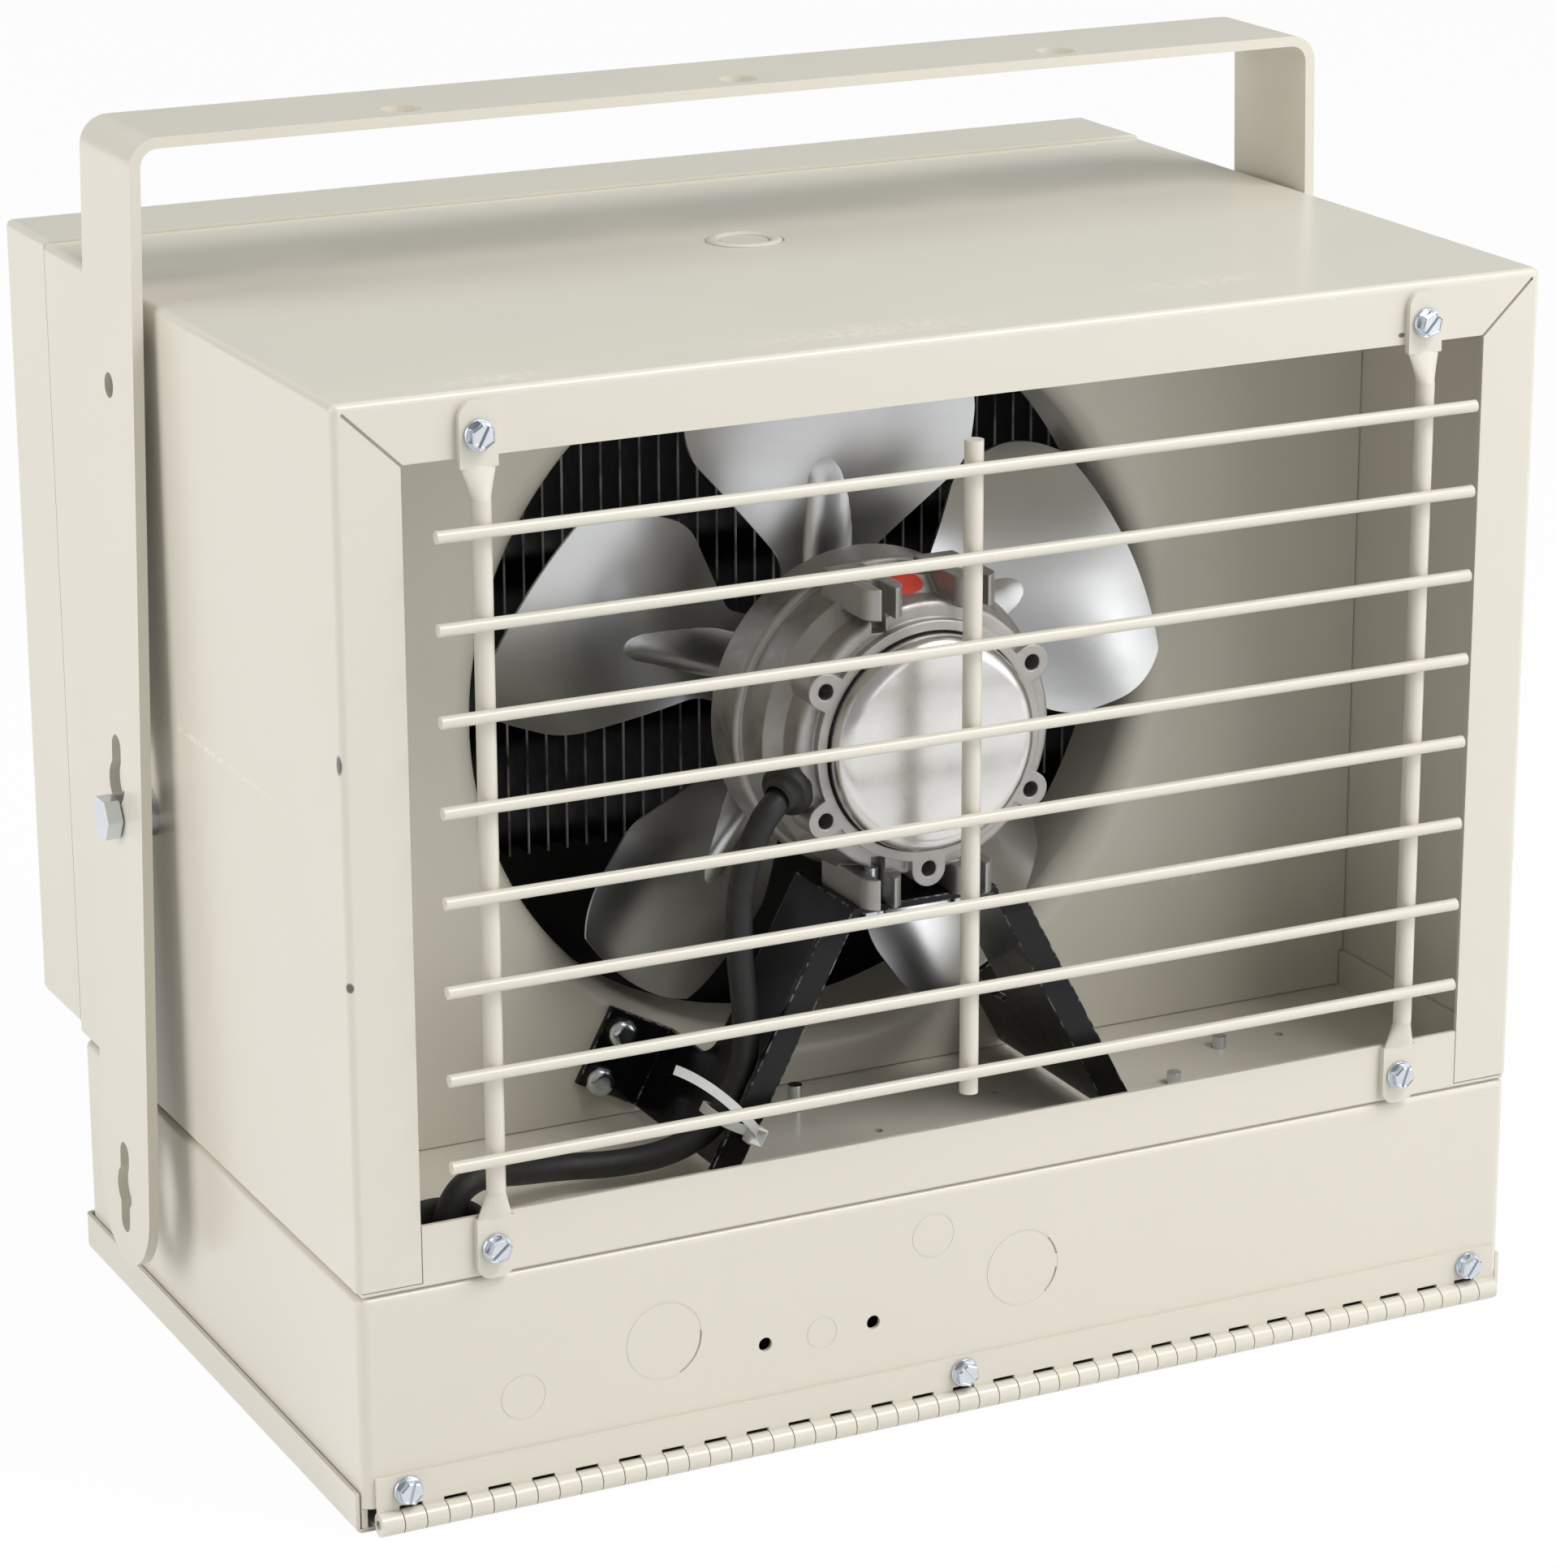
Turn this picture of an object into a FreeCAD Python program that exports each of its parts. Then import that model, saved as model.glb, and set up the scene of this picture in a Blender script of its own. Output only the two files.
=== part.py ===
import FreeCAD, Part
import math
import os

# Utility heater: a fan-forced unit heater that hangs from a yoke or stands on its bottom door.
# Lengths are millimetres. The intake side faces -Y, the discharge side +Y, and +Z is up. The origin is
# on the underside of the bottom door, below the middle of the casing's width and depth.

# Casing
case_width = 355.6
case_depth = 254.0
case_height = 304.8
control_box_height = 67.0
front_frame_depth = 35.0
sheet = 1.2
fold_radius = 2.0
fit_gap = 0.3
overrun = 5.0
match_gap = 0.001

# Wrapper
side_flange = 18.0
top_flange = 17.0
mitre_gap = 0.8
mitre_land = 2.5

# Floor pan of the fan compartment
rail_height = 17.3
pan_flange = 12.0
floor_hole_radius = 1.4
floor_hole_shares = [(-0.433, 0.237), (-0.024, 0.167), (0.22, 0.213), (0.767, 0.226)]

# Divider panel and its bell-mouth orifice
divider_setback = 86.0
divider_flange = 10.0
fan_rise = 2.0
throat_margin = 13.05
tip_gap = 4.5
bell_radius = 8.0
collar_length = 8.0

# Front frame, louver rails and louvers
frame_flange = 15.0
frame_rise = 1.0
frame_lift = 1.8
sleeve_depth = 8.0
rail_sheet = 1.5
rail_margin = 4.0
rail_depth = 26.0
louver_count = 6
louver_margin = 0.6
louver_chord_share = 0.885
louver_tilt = 30.0
louver_hem = 4.0
louver_barrel_radius = 2.6
louver_pin_radius = 1.9
louver_pin_gap = 0.08
louver_end_gap = 0.5

# Control box and its knockouts
box_setback = 2.0
box_corner_radius = 3.0
box_lip = 12.0
knockout_radius = 11.1
small_knockout_radius = 6.35
pilot_knockout_radius = 4.5
inner_ring_radius = 7.0
top_knockout_shift = 6.8
panel_hole_radius = 2.0
score_width = 0.6
score_depth_share = 0.5
knockout_place_shares = [(-0.511, 0.575), (0.105, 0.578)]
small_knockout_place_shares = [(-0.743, 0.458), (-0.053, 0.80)]
pilot_knockout_place_shares = [(-0.245, 0.469)]
panel_hole_place_shares = [(-0.340, 0.469), (-0.155, 0.469)]

# Bottom door and its piano hinge
door_lip = 11.5
door_gap = 0.4
door_corner_gap = 0.8
leaf_sheet = 1.2
leaf_length = 349.25
leaf_rise = 16.0
door_leaf_depth = 17.0
knuckle_radius = 3.2
knuckle_length = 6.35
knuckle_gap = 0.3
knuckle_notch_gap = 1.0
hinge_standoff = 1.6
pin_radius = 1.2
pin_gap = 0.08

# Hex washer head screws
screw_radius = 2.1
screw_hole_gap = 0.1
screw_length = 9.0
screw_washer_radius = 4.6
screw_washer_thickness = 0.9
screw_hex_across = 6.35
screw_hex_height = 2.4
screw_slot_width = 1.0
screw_slot_depth = 1.1
hinge_screw_inset = 8.7
hinge_screw_lift = 4.2

# Intake guard of welded rods
guard_rod_radius = 1.7
guard_rod_pitch = 24.0
guard_rod_margin = 6.3
guard_post_radius = 2.6
guard_post_inset = 20.3
guard_weld = 0.5
centre_post_overhang = 7.0
paddle_width = 10.5
paddle_length = 17.0
paddle_thickness = 2.0
paddle_corner_radius = 4.0
paddle_overlap = 1.0
paddle_neck = 8.0
neck_inset = 0.15
guard_screw_drop = 11.0
guard_screw_lift = 8.4

# Yoke and its pivots
yoke_thickness = 3.0
yoke_width = 40.0
yoke_shift = 20.0
yoke_rise = 45.2
yoke_top_gap = 2.2
yoke_splay = 8.0
yoke_arm_foot = 25.0
yoke_bend_radius = 8.0
strap_hole_radius = 5.55
strap_hole_pitch = 101.6
strap_hole_inset = 10.0
arm_hole_radius = 3.5
arm_hole_drop = 70.0
keyhole_length = 27.0
keyhole_slot_radius = 3.6
keyhole_eye_radius = 6.2
lower_keyhole_lift = 9.0
pivot_height = 158.0
pivot_bolt_radius = 3.175
pivot_head_across = 11.1
pivot_head_height = 4.4
pivot_face_gap = 0.5
pivot_hole_gap = 0.1
pivot_spacer_radius = 7.0
pivot_nut_across = 11.1
pivot_nut_height = 5.5

# Fan
blade_count = 5
blade_phase = 16.2
blade_thickness = 1.0
blade_half_width_share = 0.355
blade_neck_half_width_share = 0.13
blade_tip_corner_share = 0.24
blade_shoulder_corner_share = 0.19
blade_neck_corner_share = 0.09
ridge_radius = 4.0
ridge_end_radius = 1.6
ridge_start_share = 0.82
ridge_reach_share = 0.56
ridge_lift = 1.2
ridge_end_lift = 2.4
blade_station_shares = [0.20, 0.31, 0.48, 0.72, 1.02]
blade_chord_shares = [0.40, 0.46, 0.80, 1.15, 1.20]
blade_camber_shares = [0.0, 0.01, 0.05, 0.07, 0.06]
blade_pitch_angles = [0.0, 2.0, 17.0, 27.0, 25.0]
neck_reach_share = 0.36
shoulder_reach_share = 0.64
fan_disc_radius = 30.0
fan_disc_thickness = 1.6
fan_disc_setback = 1.0
hub_radius = 13.0
hub_gap = 1.0
hub_flange_radius = 20.0
hub_flange_thickness = 2.4
shaft_radius = 4.0
shaft_gap = 0.05
shaft_seat = 14.0
shaft_nose = 5.0
fan_screw_circle = 16.5
fan_screw_count = 4
fan_screw_radius = 1.6
fan_screw_head_radius = 3.0
fan_screw_head_height = 2.0

# Motor
motor_setback = 17.0
motor_length = 45.0
motor_radius = 44.5
motor_back_radius = 40.0
motor_back_depth = 4.0
motor_drum_depth = 15.0
motor_waist_radius = 42.5
motor_waist_depth = 13.0
motor_cone_depth = 4.5
motor_front_radius = 38.5
motor_ring_radius = 33.8
motor_ring_depth = 3.0
motor_edge_radius = 1.6
cap_radius = 30.4
cap_wall = 1.0
cap_depth = 12.0
cap_proud = 6.0
cap_edge_radius = 4.5
cap_gap = 0.7
ear_circle = 36.2
ear_radius = 5.0
ear_hole_radius = 2.3
ear_depth = 11.0
ear_angles = [30.0, 150.0, 210.0, 270.0, 330.0]
lug_spread = 14.0
lug_width = 12.0
lug_thickness = 8.5
lug_reach = 45.0
lug_overhang = 6.0
lug_depth = 28.0
lug_nose_share = 0.45
lug_hole_inset = 10.0
lug_hole_radius = 2.2

# Motor bracket
bracket_sheet = 2.0
saddle_half_width = 22.0
saddle_overhang = 1.0
saddle_depth = 35.0
leg_lean = 28.0
leg_floor_gap = 3.0
leg_lip = 6.0
leg_lip_inset = 7.0
foot_height = 24.0
foot_tab_width = 20.0
foot_notch_radius = 7.0
bracket_screw_radius = 2.1
bracket_screw_head_radius = 4.4
bracket_screw_head_height = 3.2
bracket_screw_length = 6.0
bracket_screw_rise_shares = [0.13, 0.75]
bracket_screw_out_share = 0.70
mount_screw_radius = 2.0
mount_screw_head_radius = 4.0
mount_screw_head_height = 2.6
mount_screw_tip = 1.0

# Motor lead, grommet, floor bushing and cable tie
lead_radius = 3.7
lead_motor_route = [
    (-30.0, 32.5, -6.5), (-46.0, 23.7, -11.4), (-51.0, 25.5, -22.0), (-53.5, 29.0, -37.0),
    (-53.0, 30.5, -55.0), (-50.5, 31.5, -73.0), (-50.5, 32.0, -89.0),
]
lead_floor_route = [
    (84.5, 32.5, 16.0), (72.0, 34.5, 8.5), (56.0, 38.0, 6.5), (40.0, 38.5, 8.5), (25.0, 33.5, 11.5),
    (13.0, 27.5, 15.5), (4.0, 25.0, 13.5), (0.0, 25.0, 4.5), (0.0, 26.0, -5.5), (6.5, 29.0, -13.0),
    (18.0, 34.0, -14.0), (33.7, 34.0, -14.0),
]
lead_bend_share = 0.45
lead_bore_gap = 0.1
grommet_radius = 5.2
grommet_start = 6.0
grommet_bore = 25.0
grommet_length = 8.5
grommet_gap = 0.1
bushing_inset = 33.3
bushing_setback = 25.0
bushing_radius = 10.0
bushing_bore_radius = 8.4
bushing_rise = 8.0
bushing_shoulder_radius = 12.0
bushing_shoulder_height = 2.0
bushing_depth = 5.0
bushing_gap = 0.1
tie_width = 2.6
tie_thickness = 1.0
tie_gap = 0.3
tie_lift = 14.0
tie_reach = 9.5
tie_depth = 14.6
tie_head_width = 5.0
tie_head_depth = 4.0
tie_head_height = 5.5
tie_tail_length = 33.0

# Heating element
fin_pitch = 6.0
fin_thickness = 0.6
fin_span = 216.0
fin_depth = 50.0
fin_top_gap = 16.6
fin_floor_gap = 66.5
fin_setback = 26.0
tube_count = 3
tube_radius = 5.4
tube_pitch_share = 0.303
tube_gap = 0.15
tube_overhang = 14.0
cold_pin_radius = 2.0
cold_pin_length = 16.0
end_plate_gap = 3.0
end_plate_foot = 14.0
end_plate_crown = 6.0
baffle_inset = 9.0
baffle_foot = 12.0
limit_radius = 8.0
limit_height = 7.0
limit_flange_radius = 10.5
limit_flange_height = 1.5
limit_lift = 40.0
limit_tab_length = 6.0
limit_tab_width = 4.0
limit_tab_thickness = 0.8

# Controls under the floor pan
contactor_inset = 74.5
contactor_setback = 46.5
contactor_turn = 36.2
contactor_base_length = 46.0
contactor_base_width = 26.0
contactor_base_height = 3.0
contactor_body_length = 23.0
contactor_body_width = 38.0
contactor_body_height = 33.0
contactor_step_height = 8.0
contactor_step_share = 0.5
contactor_screw_spread = 16.6
contactor_screw_tip = 3.5
block_inset = 98.3
block_setback = 34.0
block_length = 62.0
block_width = 30.0
block_height = 22.0
block_bay_count = 3
block_bay_depth = 9.0
block_rib = 3.0
block_screw_radius = 4.0
block_screw_height = 2.5
earth_screw_shift = 18.0
earth_screw_setback = 67.0

# Levels and planes worked out from the sizes above
half_width = case_width / 2
rear_y = -case_depth / 2
front_y = case_depth / 2
box_top = control_box_height
floor_bottom = box_top + fit_gap
floor_top = floor_bottom + sheet
wrapper_bottom = floor_top + fit_gap
wrapper_front = front_y - front_frame_depth
inner_half_width = half_width - sheet - fit_gap
inner_top = case_height - sheet
opening_half_width = half_width - side_flange
opening_top = case_height - top_flange
inner_fold = max(fold_radius - sheet, sheet / 2)
inner_corner = max(box_corner_radius - sheet, sheet / 2)
compartment_mid = (floor_top + inner_top) / 2
fan_axis_z = compartment_mid + fan_rise
divider_y = rear_y + divider_setback
throat_radius = (inner_top - floor_top) / 2 - throat_margin
fan_radius = throat_radius - tip_gap
blade_half_width = fan_radius * blade_half_width_share
blade_neck_half_width = fan_radius * blade_neck_half_width_share
bell_rim_radius = throat_radius + bell_radius
collar_front = divider_y + bell_radius + collar_length
frame_rear = wrapper_front + fit_gap
frame_bottom = wrapper_bottom + frame_lift
frame_top = case_height + frame_rise
pan_front = wrapper_front - sleeve_depth - fit_gap
box_front = wrapper_front - box_setback
box_bottom = sheet + fit_gap
hinge_y = rear_y - hinge_standoff
hinge_z = knuckle_radius
leaf_foot = hinge_z + knuckle_radius + knuckle_notch_gap
door_rear = hinge_y + knuckle_radius + door_corner_gap
door_half_width = half_width + door_gap + sheet
door_front = box_front + door_gap + sheet
guard_post_x = opening_half_width - guard_post_inset
guard_post_y = rear_y - guard_post_radius
guard_rod_y = guard_post_y - guard_post_radius - guard_rod_radius + guard_weld
guard_screw_levels = [case_height - guard_screw_drop, floor_bottom + guard_screw_lift]
strap_top = case_height + yoke_rise
yoke_top_half = half_width + yoke_top_gap + yoke_thickness
yoke_foot_half = yoke_top_half + yoke_splay
yoke_rear = yoke_shift - yoke_width / 2
fan_disc_y = divider_y + fan_disc_setback
motor_back_y = divider_y - motor_setback
motor_front_y = motor_back_y - motor_length
motor_ring_y = motor_front_y - motor_ring_depth
cap_front_y = motor_ring_y - cap_proud
saddle_top = fan_axis_z - lug_reach
saddle_rear = motor_front_y - saddle_overhang
lug_hole_y = motor_front_y - lug_overhang + lug_hole_inset
leg_foot_z = floor_top + leg_floor_gap
lean_sine = math.sin(math.radians(leg_lean))
lean_cosine = math.cos(math.radians(leg_lean))
leg_length = (saddle_top - leg_foot_z) / lean_cosine
leg_foot_x = saddle_half_width + leg_length * lean_sine
fin_rear = collar_front + fin_setback
fin_bottom = floor_top + fin_floor_gap
fin_top = inner_top - fin_top_gap
tube_pitch = (fin_top - fin_bottom) * tube_pitch_share
fin_mid = (fin_bottom + fin_top) / 2
tube_y = fin_rear + fin_depth / 2
end_plate_x = fin_span / 2 + end_plate_gap
louver_y = (wrapper_front + front_y) / 2
louver_mid = (frame_bottom + frame_top) / 2
louver_pitch = (frame_top - frame_bottom - 2 * frame_flange - 2 * louver_margin) / louver_count
louver_chord = louver_pitch * louver_chord_share
rail_x = half_width - frame_flange - rail_margin
rail_front = front_y - sheet - fit_gap
bushing_x = bushing_inset - inner_half_width
bushing_y = rear_y + bushing_setback
contactor_x = inner_half_width - contactor_inset
contactor_y = rear_y + contactor_setback
contactor_bottom = floor_bottom - contactor_base_height
block_x = block_inset - inner_half_width
block_y = rear_y + block_setback
block_bottom = floor_bottom - block_height


def vec(x, y, z):
    return FreeCAD.Vector(x, y, z)


x_axis = vec(1, 0, 0)
y_axis = vec(0, 1, 0)
z_axis = vec(0, 0, 1)
fan_centre = vec(0, 0, fan_axis_z)


def block(x_span, y_span, z_span):
    corner = vec(x_span[0], y_span[0], z_span[0])
    return Part.makeBox(x_span[1] - x_span[0], y_span[1] - y_span[0], z_span[1] - z_span[0], corner)


def both(half):
    return (-half, half)


def about(middle, size):
    return (middle - size / 2, middle + size / 2)


def rod(radius, start, end):
    along = end - start
    return Part.makeCylinder(radius, along.Length, start, along)


def tube(outer_radius, inner_radius, start, end):
    return rod(outer_radius, start, end).cut(rod(inner_radius, start, end))


def prism(points, along):
    return Part.Face(Part.makePolygon(points + [points[0]])).extrude(along)


def hexagon(across, start, along):
    """A hexagonal prism that stands on start, with flats the given distance apart."""
    corner = along.cross(x_axis if abs(along.x) < along.Length / 2 else z_axis)
    corner = corner.normalize() * (across / math.sqrt(3))
    turn = FreeCAD.Rotation(along, 360 / 6)
    points = []
    for step in range(6):
        points.append(start + corner)
        corner = turn.multVec(corner)
    return prism(points, along)


def fuse(shapes):
    return shapes[0].multiFuse(shapes[1:]).removeSplitter()


def spun(edges):
    """A solid of revolution about the fan axis, from a closed outline in the plane right of it."""
    return Part.Face(Part.Wire(edges)).revolve(fan_centre, y_axis, 360)


def beside_axis(radius, y):
    return fan_centre + vec(radius, y, 0)


def outline(points):
    corners = points + [points[0]]
    return [Part.makeLine(corners[i], corners[i + 1]) for i in range(len(points))]


def edges_on(shape, **planes):
    """The edges that lie wholly on the given planes, such as x=0 or z=case_height."""
    chosen = []
    for edge in shape.Edges:
        box = edge.BoundBox
        spans = {"x": (box.XMin, box.XMax), "y": (box.YMin, box.YMax), "z": (box.ZMin, box.ZMax)}
        if all(max(abs(end - level) for end in spans[name]) < match_gap for name, level in planes.items()):
            chosen.append(edge)
    return chosen


def mirrored(shape):
    return shape.mirror(vec(0, 0, 0), x_axis)


def rounded_case(x_half, y_span, z_span, radius):
    """A block with the folds that the wrapper has: rear edges and the two long top edges."""
    case = block(both(x_half), y_span, z_span)
    folds = edges_on(case, y=y_span[0], z=z_span[1])
    for side in (-x_half, x_half):
        folds += edges_on(case, x=side, y=y_span[0])
        folds += edges_on(case, x=side, z=z_span[1])
    return case.makeFillet(radius, folds)


def score(centre, radius, inward):
    """The ring-shaped shear line of a knockout, cut part way into the sheet."""
    outer_radius = radius + score_width / 2
    start = centre - inward * overrun
    end = centre + inward * (sheet * score_depth_share)
    return tube(outer_radius, outer_radius - score_width, start, end)


def mitre_slot(side):
    inner = vec(side * opening_half_width, rear_y - overrun, opening_top)
    outer = vec(side * half_width, rear_y - overrun, case_height)
    along = (outer - inner).normalize()
    across = along.cross(y_axis) * (mitre_gap / 2)
    end = outer - along * (mitre_land + sheet)
    start = inner - along * overrun
    return prism([start - across, end - across, end + across, start + across], y_axis * (overrun + sheet))


def hex_screw(seat, outward, length=screw_length):
    """A slotted hex washer head screw whose washer sits on seat."""
    washer_top = seat + outward * screw_washer_thickness
    head_top = washer_top + outward * screw_hex_height
    washer = rod(screw_washer_radius, seat, washer_top)
    head = hexagon(screw_hex_across, washer_top, outward * screw_hex_height)
    shank = rod(screw_radius, seat - outward * length, seat)
    slot = block(both(screw_washer_radius), both(screw_slot_width / 2), both(screw_slot_depth))
    slot.Placement = FreeCAD.Placement(head_top, FreeCAD.Rotation(z_axis, outward))
    return fuse([washer, head, shank]).cut(slot)


def screw_hole(seat, along):
    return rod(screw_radius + screw_hole_gap, seat - along * screw_length, seat + along * screw_length)


def guard_screw_seats():
    seats = []
    for level in guard_screw_levels:
        for side in (-1, 1):
            seats.append(vec(side * guard_post_x, rear_y - paddle_thickness, level))
    return seats


def hinge_screw_seats():
    end = leaf_length / 2 - hinge_screw_inset
    return [vec(x, rear_y - leaf_sheet, leaf_foot + hinge_screw_lift) for x in (-end, 0, end)]


def pivot_place(side):
    return vec(side * half_width, yoke_shift, pivot_height)


def wrapper():
    front = wrapper_front + overrun
    foot = wrapper_bottom - overrun
    outer = rounded_case(half_width, (rear_y, front), (foot, case_height), fold_radius)
    inner_span = (rear_y + sheet, front + overrun)
    inner = rounded_case(half_width - sheet, inner_span, (foot - overrun, inner_top), inner_fold)
    wide = both(half_width + overrun)
    cuts = [
        inner,
        block(both(opening_half_width), (rear_y - overrun, rear_y + overrun), (foot - overrun, opening_top)),
        block(wide, (wrapper_front, front + overrun), (foot - overrun, case_height + overrun)),
        block(wide, (rear_y - overrun, front + overrun), (foot - overrun, wrapper_bottom)),
        mitre_slot(-1),
        mitre_slot(1),
    ]
    crown = vec(0, top_knockout_shift, case_height)
    cuts += [score(crown, radius, -z_axis) for radius in (knockout_radius, inner_ring_radius)]
    cuts += [screw_hole(seat, y_axis) for seat in guard_screw_seats()[:2]]
    for side in (-1, 1):
        place = pivot_place(side)
        reach = x_axis * (sheet + overrun)
        cuts.append(rod(pivot_bolt_radius + pivot_hole_gap, place - reach, place + reach))
    return outer.cut(cuts)


def contactor_places():
    turn = FreeCAD.Rotation(z_axis, contactor_turn)
    middle = vec(contactor_x, contactor_y, contactor_bottom)
    return [middle + turn.multVec(vec(side * contactor_screw_spread, 0, 0)) for side in (-1, 1)]


def earth_place():
    return vec(-earth_screw_shift, rear_y + earth_screw_setback, floor_bottom)


def floor_pan():
    base = block(both(inner_half_width), (rear_y, pan_front), (floor_bottom, floor_top))
    rail_half = opening_half_width - fit_gap
    rail = block(both(rail_half), (rear_y, rear_y + sheet), (floor_bottom, floor_bottom + rail_height))
    flange_span = (rear_y + sheet + fit_gap, pan_front)
    flange_rise = (floor_bottom, floor_bottom + pan_flange)
    right = block((inner_half_width - sheet, inner_half_width), flange_span, flange_rise)
    pan = fuse([base, rail, right, mirrored(right)])
    pan = pan.makeFillet(fold_radius / 2, edges_on(pan, y=rear_y, z=floor_bottom))
    rise = z_axis * overrun
    cuts = [screw_hole(seat, y_axis) for seat in guard_screw_seats()[2:]]
    for x_share, y_share in floor_hole_shares:
        place = vec(x_share * half_width, rear_y + y_share * case_depth, floor_top)
        cuts.append(rod(floor_hole_radius, place - rise, place + rise))
    for place in contactor_places():
        cuts.append(screw_hole(place, z_axis))
    cuts.append(screw_hole(earth_place(), z_axis))
    grip = vec(bushing_x, bushing_y, floor_top)
    cuts.append(rod(bushing_radius + bushing_gap, grip - rise, grip + rise))
    return pan.cut(cuts)


def bell_mouth():
    turn_y = divider_y + bell_radius
    diagonal_share = math.sqrt(0.5)

    def on_bell(radius, share):
        return beside_axis(bell_rim_radius - radius * share, turn_y - radius * math.sqrt(1 - share * share))

    thin = bell_radius - sheet
    skin = Part.Arc(on_bell(bell_radius, 0), on_bell(bell_radius, diagonal_share), on_bell(bell_radius, 1))
    back = Part.Arc(on_bell(thin, 1), on_bell(thin, diagonal_share), on_bell(thin, 0))
    throat_end = beside_axis(throat_radius, collar_front)
    wall_end = beside_axis(throat_radius + sheet, collar_front)
    return spun([
        skin.toShape(),
        Part.makeLine(on_bell(bell_radius, 1), throat_end),
        Part.makeLine(throat_end, wall_end),
        Part.makeLine(wall_end, on_bell(thin, 1)),
        back.toShape(),
        Part.makeLine(on_bell(thin, 0), on_bell(bell_radius, 0)),
    ])


def foot_tab_screw_places():
    """Screw places on the left foot tab, in the divider's rear face."""
    places = []
    for share in bracket_screw_rise_shares:
        places.append(leg_point(foot_height * share, foot_tab_width * bracket_screw_out_share, divider_y))
    return places


def divider_panel():
    z_span = (floor_top + fit_gap, inner_top - fit_gap)
    plate = block(both(inner_half_width), (divider_y, divider_y + sheet), z_span)
    plate = plate.cut(rod(bell_rim_radius, beside_axis(0, divider_y - overrun), beside_axis(0, collar_front)))
    flange_span = (divider_y, divider_y + divider_flange)
    right = block((inner_half_width - sheet, inner_half_width), flange_span, z_span)
    top = block(both(inner_half_width), flange_span, (z_span[1] - sheet, z_span[1]))
    panel = fuse([plate, bell_mouth(), right, mirrored(right), top])
    panel = panel.common(block(both(inner_half_width), (divider_y, collar_front), z_span))
    notch_x = (inner_half_width - sheet - fit_gap, half_width)
    notch_z = (floor_bottom, floor_bottom + pan_flange + fit_gap)
    notch = block(notch_x, (divider_y - overrun, collar_front), notch_z)
    cuts = [notch, mirrored(notch)]
    for place in foot_tab_screw_places():
        hole = rod(bracket_screw_radius + screw_hole_gap, place - y_axis * overrun, place + y_axis * overrun)
        cuts += [hole, mirrored(hole)]
    return panel.cut(cuts)


def front_frame():
    z_span = (frame_bottom, frame_top)
    outer = block(both(half_width), (frame_rear, front_y), z_span)
    folds = edges_on(outer, y=front_y)
    for side in (-half_width, half_width):
        for level in z_span:
            folds += edges_on(outer, x=side, z=level)
    outer = outer.makeFillet(fold_radius, folds)
    wall_x = half_width - sheet
    wall_z = (frame_bottom + sheet, frame_top - sheet)
    hollow = block(both(wall_x), (frame_rear - overrun, front_y - sheet), wall_z)
    window_z = (frame_bottom + frame_flange, frame_top - frame_flange)
    window = block(both(half_width - frame_flange), (frame_rear, front_y + overrun), window_z)
    shell = outer.cut([hollow, window])
    sleeve_z = (wall_z[0] + fit_gap, inner_top - fit_gap)
    bore_z = (sleeve_z[0] + sheet, sleeve_z[1] - sheet)
    step_span = (frame_rear, frame_rear + sheet)
    sleeve_span = (wrapper_front - sleeve_depth, frame_rear + sheet)
    bore = block(both(inner_half_width - sheet), (sleeve_span[0] - overrun, front_y), bore_z)
    step = block(both(wall_x), step_span, wall_z).cut(bore)
    sleeve = block(both(inner_half_width), sleeve_span, sleeve_z).cut(bore)
    return fuse([shell, step, sleeve])


def louver_levels():
    first = louver_mid - louver_pitch * (louver_count - 1) / 2
    return [first + louver_pitch * i for i in range(louver_count)]


def louver_rail():
    """The right-hand rail inside the front frame, with the louvers' pin holes."""
    z_span = (frame_bottom + sheet + fit_gap, frame_top - sheet - fit_gap)
    web = block((rail_x, rail_x + rail_sheet), (rail_front - rail_depth, rail_front), z_span)
    flange = block((rail_x, half_width - sheet - fit_gap), (rail_front - rail_sheet, rail_front), z_span)
    holes = []
    for level in louver_levels():
        start = vec(rail_x - overrun, louver_y, level)
        end = start + x_axis * (rail_sheet + 2 * overrun)
        holes.append(rod(louver_pin_radius + louver_pin_gap, start, end))
    return fuse([web, flange]).cut(holes)


def louver(level):
    """A flat blade with hemmed edges on a rolled barrel, tilted with its front edge down."""
    half = rail_x - louver_end_gap
    blade = block(both(half), both(louver_chord / 2), both(sheet / 2))
    hem_front = block(both(half), (louver_chord / 2 - louver_hem, louver_chord / 2), (0, sheet * 3 / 2))
    hem_rear = block(both(half), (-louver_chord / 2, louver_hem - louver_chord / 2), (-sheet * 3 / 2, 0))
    barrel = rod(louver_barrel_radius, vec(-half, 0, 0), vec(half, 0, 0))
    pin_end = rail_x + rail_sheet
    pin = rod(louver_pin_radius, vec(-pin_end, 0, 0), vec(pin_end, 0, 0))
    whole = fuse([blade, hem_front, hem_rear, barrel, pin])
    whole.rotate(vec(0, 0, 0), x_axis, -louver_tilt)
    whole.translate(vec(0, louver_y, level))
    return whole


def panel_places(shares):
    return [vec(x * half_width, rear_y, z * control_box_height) for x, z in shares]


def box_block(x_half, y_span, z_span, corner_radius):
    """A block with its four upright corners rounded."""
    solid = block(both(x_half), y_span, z_span)
    corners = []
    for side in (-x_half, x_half):
        for y in y_span:
            corners += edges_on(solid, x=side, y=y)
    return solid.makeFillet(corner_radius, corners)


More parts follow.
